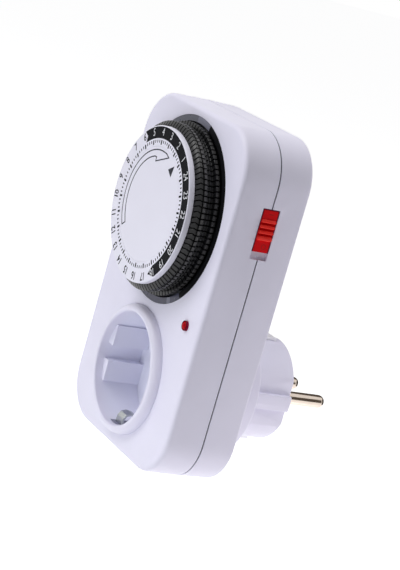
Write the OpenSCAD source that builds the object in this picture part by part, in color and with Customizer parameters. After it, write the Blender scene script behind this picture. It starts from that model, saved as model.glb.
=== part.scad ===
// Plug-in mechanical 24 hour timer switch.
// Millimetres. +Z is up, +Y points into the wall that the timer is plugged into, and the origin is the
// centre of the plug's contact face. The front of the timer faces -Y.

/* [Housing] */
// Width of the housing at its seam
body_w = 76.6; // [69:0.2:84]
// Height of the housing
body_h = 122; // [110:0.5:136]
// How far the housing reaches below the plug's axis
body_drop = 27.8; // [27.2:0.1:33.5]
// Depth of the front shell, from its face to the seam
front_d = 13.6; // [13.2:0.1:15]
// Depth of the rear shell, from the seam to its back
rear_d = 12.8; // [12.4:0.1:16]
// Radius of the housing's corners, seen from the front
corner_r = 16.5; // [15.5:0.5:17.5]
// Rounding of the front shell's edge
front_round = 1.8; // [1.4:0.1:2.8]
// Rounding of the rear shell's edge
back_round = 1.2; // [0.8:0.1:2]
// How much each side leans in from the seam to the front or the back
draft = 0.2; // [0.1:0.1:0.5]
// Wall thickness of both shells
wall = 2.2; // [1.8:0.1:2.3]
// Depth of the groove along the seam
seam_groove = 0.7; // [0.3:0.1:0.9]

/* [Plug] */
// Length of the plug body, from the round base to the contact face
plug_len = 18; // [16:0.5:22]
// Radius of the plug body
plug_r = 18.4; // [18.1:0.1:19]
// Distance from the plug's axis to the flats on its sides
plug_flat = 16; // [15.4:0.1:16.4]
// Width of the raised rib along each flat
plug_rib_w = 5.4; // [4:0.1:6.4]
// Distance between the two contact pins
pin_pitch = 19; // [18.8:0.1:19.4]
// Radius of a contact pin
pin_r = 2.4; // [2:0.1:2.6]
// Length of a contact pin outside the plug
pin_len = 19; // [17:0.5:20]
// Radius of the round base that carries the plug
base_r = 25.2; // [24.6:0.1:27]
// Depth of the round base behind the housing
base_d = 12; // [11.5:0.5:15]
// Width of the earth strips
earth_w = 6; // [4:0.1:6.6]
// How far an earth strip stands proud of the plug body
earth_proud = 0.9; // [0.6:0.1:1.2]

/* [Socket] */
// Radius of the socket's opening
well_r = 19.85; // [19.6:0.05:20.2]
// Depth of the socket, from the crest of its ring to its floor
well_d = 17.5; // [17:0.1:17.6]
// How far the ring stands in front of the housing
ring_proud = 3.3; // [2:0.1:3.6]
// Outer radius of the ring
ring_r = 22.8; // [22.4:0.1:23.4]
// Distance from the socket's axis to the faces of its guide blocks
guide_x = 16.2; // [15.8:0.1:16.8]
// Height of a pair of guide blocks
guide_h = 20.8; // [16:0.2:24]
// Width of the channel between a pair of guide blocks
guide_gap = 5.6; // [5:0.1:7]
// Radius of the pin holes in the socket's floor
pin_hole_r = 2.9; // [2.8:0.05:3.1]
// Play of a 4.8 mm pin in a contact sleeve
sleeve_play = 0.05; // [0.02:0.01:0.1]

/* [Dial] */
// Distance from the dial's hole to the housing's sides
dial_side = 5.7; // [5.3:0.1:8]
// Distance from the dial's hole to the housing's top
dial_top = 3.3; // [3.3:0.1:7]
// Distance from the dial's hole to the socket's ring
dial_low = 2.9; // [2.5:0.1:6]
// How far the dial's face stands in front of the housing
dial_proud = 10.2; // [10:0.1:11]
// Width of the hour ring
label_w = 7.3; // [6:0.1:9]
// Thickness of the hour ring
label_t = 2.05; // [1.6:0.05:2.2]
// Number of tappets round the dial
tappet_n = 96; // [48:48:96]
// How far the tappets' foot ridge stays inside the hole
foot_inset = 2.6; // [2.2:0.1:3]
// How far the tappets' crown stays inside the hole
crown_inset = 3.4; // [3.1:0.1:3.6]
// How far the tappets' crown stands outside the hour ring
crown_w = 2.3; // [2:0.1:2.6]
// Share of its pitch that a tappet fills
tappet_fill = 0.8; // [0.6:0.05:0.9]
// Travel of a tappet
tappet_travel = 2.5; // [2:0.1:2.6]

/* [Movement] */
// Module of the gears behind a dial hole of 65.2 mm
gear_m = 0.5; // [0.48:0.01:0.51]
// Teeth of the dial's gear
dial_teeth = 72; // [68:4:72]
// Teeth of the idler's large wheel
wheel_teeth = 48; // [44:4:48]
// Teeth of the idler's pinion and of the motor's pinion
pinion_teeth = 12; // [12:1:12]
// Radius of the motor behind a dial hole of 65.2 mm
motor_r = 17; // [15:0.5:17.5]
// Depth of the motor
motor_d = 9; // [7:0.5:9.4]
// Radius of the dial's axle
axle_r = 2.5; // [2:0.1:3]
// Running clearance of a bore on its axle
running = 0.05; // [0.02:0.01:0.08]

/* [Override slider] */
// Distance from the housing's top to the slot
slot_drop = 22.9; // [20.4:0.1:25]
// Length of the slot in the housing's side
slot_len = 17.3; // [16:0.1:18]
// Width of the slot
slot_w = 6.5; // [5.5:0.1:7]
// Length of the slider's cap
cap_len = 14.6; // [12:0.1:15]
// Height of the slider's grip ribs
rib_h = 1; // [0.5:0.1:1.4]

/* [Indicator] */
// Distance of the indicator lamp from the housing's side
lamp_side = 9.4; // [8.6:0.1:10.4]
// Height of the indicator lamp above the plug's axis
lamp_z = 26; // [25:0.1:27]
// Radius of the indicator lamp
lamp_r = 1.7; // [1.2:0.1:1.9]
// How far the lamp's dome stands in front of the housing
lamp_proud = 1.4; // [0.8:0.1:1.6]

/* [Hidden] */

$fn = 96;
cut = 1;           // how far a cutting tool runs past the face that it cuts
gap = 0.1;         // assembly gap between two pieces that are fixed together
slip = 0.3;        // gap between pieces that move past each other
arc_steps = 8;     // flats that a quarter round is drawn with

white = "#e4e2ee";
black = "#1b1b1e";
slate = "#3c3c48";
steel = "#b9b9bd";
brass = "#c9a552";
nickel = "#d8ccb4";
red = "#c41a1e";
green = "#3b7a45";
buff = "#c8b48a";

// Stations along Y, from the contact face to the front
y_base = -plug_len;
y_back = y_base - base_d;
y_back_in = y_back - wall;
y_seam = y_back - rear_d;
y_front = y_seam - front_d;
y_front_in = y_front + wall;
y_crest = y_front - ring_proud;
y_well = y_crest + well_d;
y_label = y_front - dial_proud;
y_drum = y_label + label_t;

// Housing
z_low = -body_drop;
z_mid = body_h / 2 - body_drop;
z_high = body_h - body_drop;
lip = 0.25;                          // height of each shell's step at the seam
inner_x = body_w / 2 - wall;
post_x = body_w / 2 - 7.9;
post_zs = [z_low + 8.9, z_high - 8.4];
post_r = 3.4;
screw_r = 1.4;
screw_play = 0.3;
screw_seat = y_back - 7;             // where the housing screws' heads rest
screw_len = 12;
head_r = 2.8;
head_h = 1.8;
small_screw_r = 1;
small_head_r = 1.9;
small_head_h = 1.1;
cup_screw_len = 3.8;
plate_screw_len = 5;

// Plug and contacts
pin_x = pin_pitch / 2;
plug_sink = 1.9;                     // how far the plug body reaches through the base's face
flange_r = base_r - 3.7;
flange_t = 2;
y_flange = y_base - plug_sink;
y_flange_in = y_flange - flange_t;
bar_t = 0.5;
bar_w = 4;
y_bar = y_flange_in - bar_t / 2;     // middle of the bars that the pins are riveted to
rivet_r = 3;
rivet_t = 0.5;
pin_root_r = 2;
pin_seat = 1.5;                      // how deep the pins' thick part sits in the plug body
pin_seat_r = pin_r - 0.2;
pin_step = 0.02;                     // gap between the pins' shoulders and their seats
earth_t = 1;
earth_z = plug_r + earth_proud - earth_t / 2;
earth_toe = 3;                       // length of the strips' turned-in ends
earth_short = 3.4;                   // how far the strips stop short of the contact face
y_earth = y_bar - 1.2;               // the earth bracket's bridge
floor_t = 2.3;
y_floor_in = y_well + floor_t;
cup_t = 1.5;                         // wall of the socket's cup
cup_r = well_r + cup_t;
collar_r = ring_r + 1.2;             // the collar that holds the socket behind the front shell
collar_t = 1.5;
sleeve_bore = 2.4 + sleeve_play;
sleeve_r = sleeve_bore + 1.05;
sleeve_len = 14.8;
y_sleeve = y_floor_in + gap;
sleeve_boss_d = 5.4;
clip_w = 4.6;
clip_t = 0.8;
clip_slot_w = clip_w + 0.6;
y_clip = y_floor_in + 0.8 + clip_t / 2;
clip_leg_z = cup_r + 0.75;
hump_z = 15.5;                       // how near the earth clips come to the socket's axis
link_w = 5;
link_t = 0.6;
link_z = [7, 11.6];

// Dial
dial_hole_r = min(body_w / 2 - dial_side, (z_high - ring_r - dial_top - dial_low) / 2);
dial_z = z_high - dial_top - dial_hole_r;
tappet_foot_r = dial_hole_r - foot_inset;
tappet_r = dial_hole_r - crown_inset;
label_r = tappet_r - crown_w;
centre_r = label_r - label_w;
cup_floor_t = 1.6;
cup_wall_t = 1.1;
y_cup = y_front + 6;
y_cup_in = y_cup + cup_floor_t;
cup_in_r = dial_hole_r - gap - cup_wall_t;
cup_flange_r = dial_hole_r + 0.9;
ear_reach = dial_hole_r + 4.4;
ear_angles = [30, 150, 225];
ear_r = 3;
y_ear = y_cup - 0.6;
ear_t = 1.4;
drum_r = label_r - 1.7;
drum_wall = 1.8;
drum_plate = 1.65;
hub_r = 6;
tappet_top = y_drum + gap;
tappet_len = 7.85;
tappet_end = tappet_top + tappet_len;
drum_rim_t = 1.2;
y_rim = tappet_end + tappet_travel + 0.6;
rim_r = drum_r + 2.4;
tappet_pitch = 360 / tappet_n;
group_n = 12;
per_group = tappet_n / group_n;
first_group_angle = -90;

// Gear train, laid out in proportion to the dial
share = dial_hole_r / 32.6;
tooth_m = gear_m * share;
can_r = motor_r * share;
y_gear = y_cup_in + 0.5;
gear_t = 1.8;
y_gear_in = y_gear + gear_t;
spring_t = 0.45;
clip_ring_t = 0.6;
y_clip_ring = y_gear_in + spring_t + 0.1;
y_hub = y_clip_ring + clip_ring_t + 0.15;
y_wheel = y_gear_in + 0.3;
wheel_t = 1.4;
y_plate = y_wheel + wheel_t + 1;
plate_t = 1.4;
y_plate_in = y_plate + plate_t;
dial_pitch_r = tooth_m * dial_teeth / 2;
wheel_pitch_r = tooth_m * wheel_teeth / 2;
pinion_pitch_r = tooth_m * pinion_teeth / 2;
idler_angle = 120;
motor_angle = -100;
dial_c = [0, dial_z];
idler_c = dial_c + (dial_pitch_r + pinion_pitch_r) * [cos(idler_angle), sin(idler_angle)];
motor_c = idler_c + (wheel_pitch_r + pinion_pitch_r) * [cos(motor_angle), sin(motor_angle)];
idler_axle_r = 1;
shaft_r = 1;
pillar_r = 2.5;
ear_centres = [for (a = ear_angles) dial_c + ear_reach * [cos(a), sin(a)]];
pillars = [for (p = [[18, 19], [18, -18.3], [-22, -15.3]]) dial_c + share * p];
plate_reach = [[-31, -19.8], [22, 23.7]]; // the plate's corners behind a dial hole of 65.2 mm
plate_low = dial_c + share * plate_reach[0];
plate_high = dial_c + share * plate_reach[1];
plate_corner = 4;
motor_ears = [for (s = [-1, 1]) motor_c + s * (can_r + 3) * [cos(45), sin(45)]];
motor_ear_t = 0.8;

// Switch under the dial
finger_r = tappet_foot_r - 1;        // distance of the lever's finger from the dial's axis
lever_z = dial_z - finger_r;
switch_size = [20, 12, 6.4];
switch_low = [-5, y_cup_in + 3.4, lever_z - 3.3];
switch_high = switch_low + switch_size;
tab_x = [-8, 18];
tab_z = [lever_z - 4.3, lever_z + 11];
lever_w = 2.2;
lever_t = 0.8;
lever_x = 13.5;                      // the lever's pivot
y_lever = y_cup_in + 1.6;
lever_pin_r = 0.8;
lever_eye_r = 1.4;
finger_x = -0.8;
finger_t = 1.8;
lever_gap = 1.9;                     // free play between a raised tappet and the finger
y_finger = tappet_end + lever_gap;
plunger_x = 4.5;
plunger_r = 0.9;
terminal_in_x = pin_x;
terminal_out_x = 0.5;
y_bar_in = switch_high[1] - 3;       // the live feed's bar in front of the switch's terminal
y_bar_out = y_floor_in + 6.25;       // the switched bar
bar_in_z = base_r - 6.9;
bar_out_z = bar_in_z - 3.3;

// Slider
side_x = body_w / 2;
slot_top = z_high - slot_drop;
slot_low = slot_top - slot_len;
recess_d = 1.3;
cap_w = slot_w - 0.3;
cap_top = slot_top - gap;
cap_low = cap_top - cap_len;
slider_travel = slot_len - cap_len - 2 * gap;
pad_t = 1.2;
pad_x = inner_x - pad_t;
slit_w = 3.2;
stem_w = slit_w - 0.4;
stem_z = [cap_low + 4.4, cap_low + 10.4];
foot_t = 1.4;
foot_x = pad_x - gap - foot_t;
foot_w = 7.4;
arm_w = 3;
arm_z = lever_z + 3.7;
arm_h = 2.5;
arm_end = tab_x[1] - 0.4;
rib_n = 4;
rib_pitch = 1.87;
rib_low = cap_low + 3.9;
rib_base = 1.5;
rib_crest = 0.9;
spring_rib = [foot_x - 5.2, foot_x - 3.3];
spring_z = slot_low + 5;

// Lamp
lamp_x = side_x - lamp_side;
board_size = [12, 1.2, 11];
y_board = y_front_in + 1.6;
board_posts = [[-4.2, -3.6], [4.2, 3.6]];

// Leads
lead_r = 0.5;
lead_x = [-3, 1];                    // where the lamp's leads leave its board, from the lamp's axis
lead_drop = 4.4;
lead_rise = 2;                       // how far the leads stand off the board before they bend
lead_bend_z = 12;                    // where the live lead turns towards its bar
lead_end_z = 7;
lead_low_z = [-13, -14];             // where the neutral lead passes below the sleeves
motor_lead_r = 0.6;
motor_lead_x = [4, -3.4];            // where the motor's leads leave it, from its axis
motor_lead_z = 10;                   // where the motor's neutral lead turns inwards
motor_lead_in = 6;

// Points on an arc round c with radius r, from angle a to angle b
function arc(c, r, a, b, n = arc_steps) =
    [for (i = [0:n]) c + r * [cos(a + (b - a) * i / n), sin(a + (b - a) * i / n)]];
function unit(v) = v / norm(v);
// The sideways direction of a path at point i, lengthened so that the strip keeps its thickness round a bend
function side_at(p, i) =
    let (a = unit(i > 0 ? p[i] - p[i - 1] : p[1] - p[0]),
         b = unit(i < len(p) - 1 ? p[i + 1] - p[i] : p[i] - p[i - 1]),
         m = unit(a + b))
    [-m[1], m[0]] / (m * a);
// Outline of a bent strip of thickness t along path p
function strip(p, t) = concat(
    [for (i = [0:len(p) - 1]) p[i] + side_at(p, i) * t / 2],
    [for (i = [len(p) - 1:-1:0]) p[i] - side_at(p, i) * t / 2]);
// Outline of a gear with straight-sided teeth; a tooth points along +X
function gear_outline(teeth, m) =
    let (root = m * teeth / 2 - 1.2 * m, tip = m * teeth / 2 + 0.8 * m, pitch = 360 / teeth)
    [for (i = [0:teeth - 1], k = [[root, -0.29], [tip, -0.12], [tip, 0.12], [root, 0.29]])
        k[0] * [cos((i + k[1]) * pitch), sin((i + k[1]) * pitch)]];

// Children drawn in X and Z become a plate from y0 to y1
module plate(y0, y1) translate([0, y1, 0]) rotate([90, 0, 0]) linear_extrude(y1 - y0) children();
// Children drawn in Y and Z become a strip of width w centred on x
module across(x, w) translate([x - w / 2, 0, 0]) rotate([90, 0, 90]) linear_extrude(w) children();
// A solid turned round the Y axis at c, from a profile of [radius, y] points
module turned(profile, c = [0, 0])
    translate([c[0], 0, c[1]]) rotate([-90, 0, 0]) rotate_extrude() polygon(profile);
// A cylinder along Y at c
module rod(c, r, y0, y1) translate([c[0], y0, c[1]]) rotate([-90, 0, 0]) cylinder(r = r, h = y1 - y0);
// A box between two corners
module block(low, high) translate(low) cube(high - low);

// Directions across a path at each point, carried along it without twist
function forward(p, i) =
    let (before = i > 0 ? unit(p[i] - p[i - 1]) : [0, 0, 0],
         after = i < len(p) - 1 ? unit(p[i + 1] - p[i]) : [0, 0, 0])
    unit(before + after);
function sideways(p, i) =
    let (t = forward(p, i), u = i == 0 ? [t[1] - t[2], t[2] - t[0], t[0] - t[1]] : sideways(p, i - 1))
    unit(u - (u * t) * t);

// A round wire through the points p
module wire(p, r) {
    n = 8;
    rings = [for (i = [0:len(p) - 1], k = [0:n - 1])
        let (u = sideways(p, i), v = cross(forward(p, i), u))
        p[i] + r * (cos(360 * k / n) * u + sin(360 * k / n) * v)];
    walls = [for (i = [0:len(p) - 2], k = [0:n - 1]) let (a = i * n + k, b = i * n + (k + 1) % n)
        each [[a, b, a + n], [b, b + n, a + n]]];
    ends = [[for (k = [n - 1:-1:0]) k], [for (k = [0:n - 1]) (len(p) - 1) * n + k]];
    polyhedron(rings, concat(ends, walls));
}

// A cross-slotted screw whose head rests at y and whose shank runs towards the front
module screw(c, y, r, len, hr, hh) {
    slot = [hr * 1.2, hh * 0.5, hr * 0.25];
    difference() {
        union() {
            rod(c, r, y - len, y);
            rod(c, hr, y, y + hh);
        }
        for (a = [0, 90])
            translate([c[0], y + hh, c[1]]) rotate([0, a, 0]) cube(slot + [0, hh * 0.5, 0], center = true);
    }
}

// A pan with rounded corners: its wall follows the profile of [distance from a corner's axis, y] points,
// and its bottom is a flat plate from y0 to y1
module pan(profile, y0, y1) {
    cx = body_w / 2 - corner_r;
    cz = body_h / 2 - corner_r;
    translate([0, 0, z_mid]) {
        translate([-cx, y0, -cz]) cube([2 * cx, y1 - y0, 2 * cz]);
        for (s = [0, 180]) {
            rotate([0, s, 0]) translate([cx, 0, -cz]) linear_extrude(2 * cz) polygon(profile);
            rotate([0, s - 90, 0]) translate([cz, 0, -cx]) linear_extrude(2 * cx) polygon(profile);
        }
        for (sx = [-1, 1], sz = [-1, 1])
            translate([sx * cx, 0, sz * cz]) rotate([0, sx > 0 ? (sz > 0 ? 0 : 90) : (sz > 0 ? -90 : 180), 0])
                rotate([-90, 0, 0]) rotate([0, 0, -90]) rotate_extrude(angle = 90) polygon(profile);
    }
}

// What the override slider needs cut out of both shells
module slider_cut() {
    w = slot_w / 2;
    block([side_x - recess_d, y_seam - w, slot_low], [side_x + cut, y_seam + w, slot_top]);
    block([pad_x - cut, y_seam - slit_w / 2, stem_z[0] - slider_travel - slip],
          [side_x, y_seam + slit_w / 2, stem_z[1] + slip]);
}

// The thicker wall behind the slider's slot
module slider_pad() {
    block([pad_x, y_seam - slot_w / 2 - 2, slot_low - 2],
          [inner_x + gap, y_seam + slot_w / 2 + 2, slot_top + 2]);
}

module front_shell() {
    top = corner_r - draft;
    profile = concat([[0, y_front_in], [0, y_front]],
        arc([top - front_round, y_front + front_round], front_round, -90, 0),
        [[corner_r, y_seam - lip], [corner_r - seam_groove, y_seam - lip], [corner_r - seam_groove, y_seam],
         [corner_r - wall, y_seam], [corner_r - wall, y_front_in]]);
    color(white) difference() {
        union() {
            pan(profile, y_front, y_front_in);
            for (x = [-1, 1], z = post_zs) rod([x * post_x, z], post_r, y_front_in - gap, y_seam);
            for (c = ear_centres) rod(c, ear_r - 0.6, y_front_in - gap, y_ear - gap);
            for (p = board_posts) rod([lamp_x, lamp_z] + p, 1.3, y_front_in - gap, y_board);
            intersection() {
                slider_pad();
                block([0, y_front, z_low], [side_x, y_seam, z_high]);
            }
        }
        rod(dial_c, dial_hole_r, y_front - cut, y_front_in + cut);
        rod([0, 0], ring_r + gap / 2, y_front - cut, y_front_in + cut);
        rod([lamp_x, lamp_z], lamp_r + gap / 2, y_front - cut, y_front_in + cut);
        for (x = [-1, 1], z = post_zs)
            rod([x * post_x, z], screw_r + gap / 2, screw_seat - screw_len - 1, y_seam + cut);
        for (c = ear_centres) rod(c, small_screw_r + gap / 2, y_front_in + 0.4, y_ear + cut);
        slider_cut();
    }
}

module rear_shell() {
    back = corner_r - draft;
    groove = corner_r - seam_groove;
    profile = concat([[groove, y_seam], [groove, y_seam + lip], [corner_r, y_seam + lip]],
        arc([back - back_round, y_back - back_round], back_round, 0, 90),
        [[0, y_back], [0, y_back_in], [corner_r - wall, y_back_in], [corner_r - wall, y_seam]]);
    base = concat([[base_r - wall + 0.3, y_back_in], [base_r, y_back_in], [base_r, y_base - 1]],
        arc([base_r - 1, y_base - 1], 1, 0, 90, 4),
        [[plug_r + gap, y_base], [plug_r + gap, y_flange], [base_r - wall + 0.3, y_flange]]);
    notch = [earth_w / 2 + gap, earth_z + earth_t / 2 + gap];
    color(white) difference() {
        union() {
            difference() {
                pan(profile, y_back_in, y_back);
                rod([0, 0], base_r - wall / 2, y_back_in - cut, y_back + cut);
            }
            turned(base);
            for (x = [-1, 1], z = post_zs) rod([x * post_x, z], post_r + 0.4, y_seam, y_back_in + gap);
            block([spring_rib[0], y_seam + 0.8, spring_z], [spring_rib[1], y_back_in + gap, spring_z + 7]);
            intersection() {
                slider_pad();
                block([0, y_seam, z_low], [side_x, y_back, z_high]);
            }
        }
        for (x = [-1, 1], z = post_zs) {
            rod([x * post_x, z], screw_r + screw_play, y_seam - cut, y_back + cut);
            rod([x * post_x, z], head_r + screw_play, screw_seat, y_back + cut);
        }
        block([-notch[0], y_flange - cut, -notch[1]], [notch[0], y_base + cut, notch[1]]);
        slider_cut();
    }
}

module plug_body() {
    edge = 0.9;
    profile = concat([[0, y_flange_in], [flange_r, y_flange_in], [flange_r, y_flange], [plug_r, y_flange]],
        arc([plug_r - edge, -edge], edge, 0, 90, 5), [[0, 0]]);
    toe_z = earth_z - earth_toe;
    slit = earth_w / 2 + gap;
    color(white) difference() {
        turned(profile);
        for (s = [-1, 1]) {
            for (side = [-1, 1]) {
                x = s > 0 ? plug_flat : -plug_r - cut;
                z = side > 0 ? plug_rib_w / 2 : -plug_r;
                block([x, y_base, z], [x + plug_r + cut - plug_flat, cut, z + plug_r - plug_rib_w / 2]);
            }
            rod([s * pin_x, 0], pin_root_r + 0.02, y_flange_in - cut, cut);
            rod([s * pin_x, 0], pin_r + 0.01, -pin_seat, cut);
            z0 = s > 0 ? earth_z - earth_t / 2 - 0.05 : -flange_r - cut;
            block([-slit, y_flange_in - cut, z0],
                  [slit, -earth_short + 0.05, z0 + flange_r + cut - earth_z + earth_t / 2 + 0.05]);
            t0 = s > 0 ? toe_z - gap : -plug_r - cut;
            block([-slit, -earth_short - earth_t - 0.05, t0],
                  [slit, -earth_short + 0.05, t0 + plug_r + cut - toe_z + gap]);
        }
    }
}

// One contact pin: a thick round-ended pin, seated in the plug body, with a thinner root that is riveted
// over behind the bar
module contact_pin(x) {
    y_rivet = y_bar - bar_t / 2;
    color(nickel) {
        turned(concat([[0, y_rivet - rivet_t], [rivet_r - 0.2, y_rivet - rivet_t], [rivet_r, y_rivet],
                       [pin_root_r, y_rivet], [pin_root_r, pin_step - pin_seat],
                       [pin_seat_r, pin_step - pin_seat], [pin_seat_r, pin_step], [pin_r, pin_step]],
                      arc([0, pin_len - pin_r], pin_r, 0, 90)), [x, 0]);
    }
}
module live_pin() contact_pin(pin_x);
module neutral_pin() contact_pin(-pin_x);

// A U-shaped strip: a bridge behind the plug body and a contact along its top and bottom, with the toes
// turned in near the contact face
module plug_earth_bracket() {
    toe = [-earth_short - earth_t / 2, earth_z - earth_toe];
    half = [[y_earth, 0], [y_earth, earth_z], [toe[0], earth_z], toe];
    path = concat([for (i = [3:-1:1]) [half[i][0], -half[i][1]]], [for (i = [1:3]) half[i]]);
    color(nickel) across(0, earth_w) polygon(strip(path, earth_t));
}

// The socket's ring, its round wall, the collar behind the front shell and the guide blocks
module socket_cup() {
    rise = ring_proud - 0.4;
    mid = ring_r - 2.2;
    y_collar = y_front_in + gap / 2;
    profile = concat([[well_r, y_well], [well_r, y_crest + 0.7]],
        [for (a = [180:-18:90]) [mid + (mid - well_r) * cos(a), y_crest + 0.7 - 0.7 * sin(a)]],
        [for (a = [80:-10:0]) [mid + (ring_r - mid) * cos(a), y_front - 0.4 - rise * sin(a)]],
        [[ring_r, y_collar], [collar_r, y_collar], [collar_r, y_collar + collar_t],
         [cup_r, y_collar + collar_t], [cup_r, y_well]]);
    color(white) difference() {
        union() {
            turned(profile);
            intersection() {
                rod([0, 0], cup_r - 0.5, y_front, y_well);
                for (sx = [-1, 1], sz = [-1, 1])
                    block([sx > 0 ? guide_x : -cup_r, y_front, sz > 0 ? guide_gap / 2 : -guide_h / 2],
                          [sx > 0 ? cup_r : -guide_x, y_well, sz > 0 ? guide_h / 2 : -guide_gap / 2]);
            }
        }
        for (s = [-1, 1]) {
            z = s > 0 ? hump_z + 1 : -cup_r - 0.3;
            block([-clip_slot_w / 2, y_front - 0.6, z],
                  [clip_slot_w / 2, y_well - 1.2, z + cup_r + 0.3 - hump_z - 1]);
        }
    }
}

// The socket's floor, with the pin holes and a boss round each contact sleeve
module socket_floor() {
    color(white) difference() {
        union() {
            rod([0, 0], cup_r, y_well, y_floor_in);
            for (x = [-pin_x, pin_x])
                rod([x, 0], sleeve_r + 1.2, y_floor_in - gap, y_floor_in + sleeve_boss_d);
        }
        for (x = [-pin_x, pin_x]) {
            rod([x, 0], pin_hole_r, y_well - cut, y_floor_in + cut);
            rod([x, 0], sleeve_r + 0.02, y_floor_in, y_floor_in + sleeve_boss_d + cut);
        }
    }
}

// Both of the socket's earth contacts and the bridge behind its floor, bent from one strip
module socket_earth_clip() {
    half = [[y_clip, clip_leg_z], [y_well - 2.6, clip_leg_z], [y_well - 4.4, hump_z + 3.8],
        [y_well - 6.2, hump_z + 1.7], [y_well - 8, hump_z + 0.7], [y_well - 9.9, hump_z + 0.4],
        [y_well - 11.4, hump_z + 0.9], [y_well - 12.2, hump_z + 2.2], [y_well - 12.4, hump_z + 4.6]];
    path = concat([for (i = [8:-1:0]) [half[i][0], -half[i][1]]], half);
    color(nickel) across(0, clip_w) polygon(strip(path, clip_t));
}

// The strip that joins the socket's earth bridge to the plug's
module earth_link() {
    y0 = y_clip + clip_t / 2;
    y1 = y_earth - earth_t / 2;
    ends = [y0 + link_t / 2, y1 - link_t / 2];
    path = [[ends[0], link_z[0]], [ends[0], link_z[1]], [ends[1], link_z[1]], [ends[1], link_z[0]]];
    color(brass) across(0, link_w) polygon(strip(path, link_t));
}

// A sprung brass sleeve that takes one pin of the plugged-in appliance
module contact_sleeve(x) {
    color(brass) difference() {
        rod([x, 0], sleeve_r, y_sleeve, y_sleeve + sleeve_len);
        rod([x, 0], sleeve_bore, y_sleeve - cut, y_sleeve + sleeve_len + cut);
        block([x - 0.5, y_sleeve - cut, -sleeve_r - cut], [x + 0.5, y_sleeve + sleeve_len + cut, 0]);
    }
}
module live_contact() contact_sleeve(pin_x);
module neutral_contact() contact_sleeve(-pin_x);

// From the live pin up to the switch
module live_busbar_in() {
    path = [[y_bar, -3], [y_bar, bar_in_z], [y_bar_in, bar_in_z], [y_bar_in, switch_low[2] - 0.5]];
    color(brass) difference() {
        across(pin_x, bar_w) polygon(strip(path, bar_t));
        rod([pin_x, 0], pin_root_r + 0.02, y_bar - cut, y_bar + cut);
    }
}

// From the switch down to the live sleeve
module live_busbar_out() {
    top = switch_low[2] - 1;
    h = bar_w / 2;
    color(brass) plate(y_bar_out, y_bar_out + bar_t) difference() {
        union() {
            translate([pin_x, 0]) circle(r = sleeve_r + 1.3);
            polygon([[pin_x - h, 0], [pin_x + h, 0], [pin_x + h, bar_out_z + h],
                     [terminal_out_x + h, bar_out_z + h], [terminal_out_x + h, top],
                     [terminal_out_x - h, top], [terminal_out_x - h, bar_out_z - h],
                     [pin_x - h, bar_out_z - h]]);
        }
        translate([pin_x, 0]) circle(r = sleeve_r + 0.02);
    }
}

// From the neutral pin straight to the neutral sleeve
module neutral_busbar() {
    z = -sleeve_r - bar_t / 2 - 0.02;
    path = [[y_bar, 3], [y_bar, z], [y_sleeve + sleeve_len - 8, z]];
    color(brass) difference() {
        across(-pin_x, bar_w) polygon(strip(path, bar_t));
        rod([-pin_x, 0], pin_root_r + 0.02, y_bar - cut, y_bar + cut);
    }
}

module housing_screws() {
    color(steel) for (x = [-1, 1], z = post_zs)
        screw([x * post_x, z], screw_seat, screw_r, screw_len, head_r, head_h);
}

module dial_cup() {
    y_rim_front = y_front + gap;
    out_r = dial_hole_r - gap;
    profile = [[hub_r + slip, y_cup], [cup_in_r, y_cup], [cup_in_r, y_rim_front], [out_r, y_rim_front],
        [out_r, y_front_in + gap / 2], [cup_flange_r, y_front_in + gap / 2], [cup_flange_r, y_front_in + 1.2],
        [out_r, y_front_in + 1.2], [out_r, y_cup_in], [hub_r + slip, y_cup_in]];
    color(slate) difference() {
        union() {
            turned(profile, dial_c);
            for (c = ear_centres) rod(c, ear_r, y_ear, y_ear + ear_t);
            for (a = ear_angles)
                translate([dial_c[0], y_ear, dial_c[1]]) rotate([0, -a, 0])
                    block([out_r - 0.5, 0, -ear_r], [ear_reach, ear_t, ear_r]);
            difference() {
                block([tab_x[0], y_cup, tab_z[0]], [tab_x[1], y_cup_in, tab_z[1]]);
                rod(dial_c, cup_in_r + 0.5, y_cup - cut, y_cup_in + cut);
            }
            for (p = pillars) rod(p, pillar_r, y_cup_in - gap, y_plate);
            // ears that hold the lever's pin
            for (z = [lever_z - lever_w / 2 - 1.4, lever_z + lever_w / 2 + 0.4])
                block([lever_x - 1.7, y_cup_in - gap, z], [lever_x + 1.7, y_lever + 1.6, z + 1]);
            // cradle that holds the switch at both ends
            for (x = [switch_low[0] - 1.5, switch_high[0] + gap])
                block([x, y_cup_in - gap, switch_low[2]], [x + 1.4, switch_high[1] - 3, switch_high[2]]);
        }
        for (p = pillars) rod(p, small_screw_r + gap / 2, y_cup_in + 0.8, y_plate + cut);
        for (c = ear_centres) rod(c, small_screw_r + gap, y_ear - cut, y_ear + ear_t + cut);
        rod(idler_c, idler_axle_r + 0.02, y_cup + 0.6, y_cup_in + cut);
        translate([lever_x, y_lever, 0]) cylinder(r = lever_pin_r + 0.02, h = lever_z + 4);
        block([finger_x - finger_t / 2 - 1.2, y_cup - cut, lever_z - lever_w / 2 - 0.6],
              [finger_x + finger_t / 2 + 1.2, y_cup_in + cut, lever_z + lever_w / 2 + 0.6]);
    }
}

module cup_screws() {
    color(steel) for (c = ear_centres)
        screw(c, y_ear + ear_t, small_screw_r, cup_screw_len, small_head_r, small_head_h);
}

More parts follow.
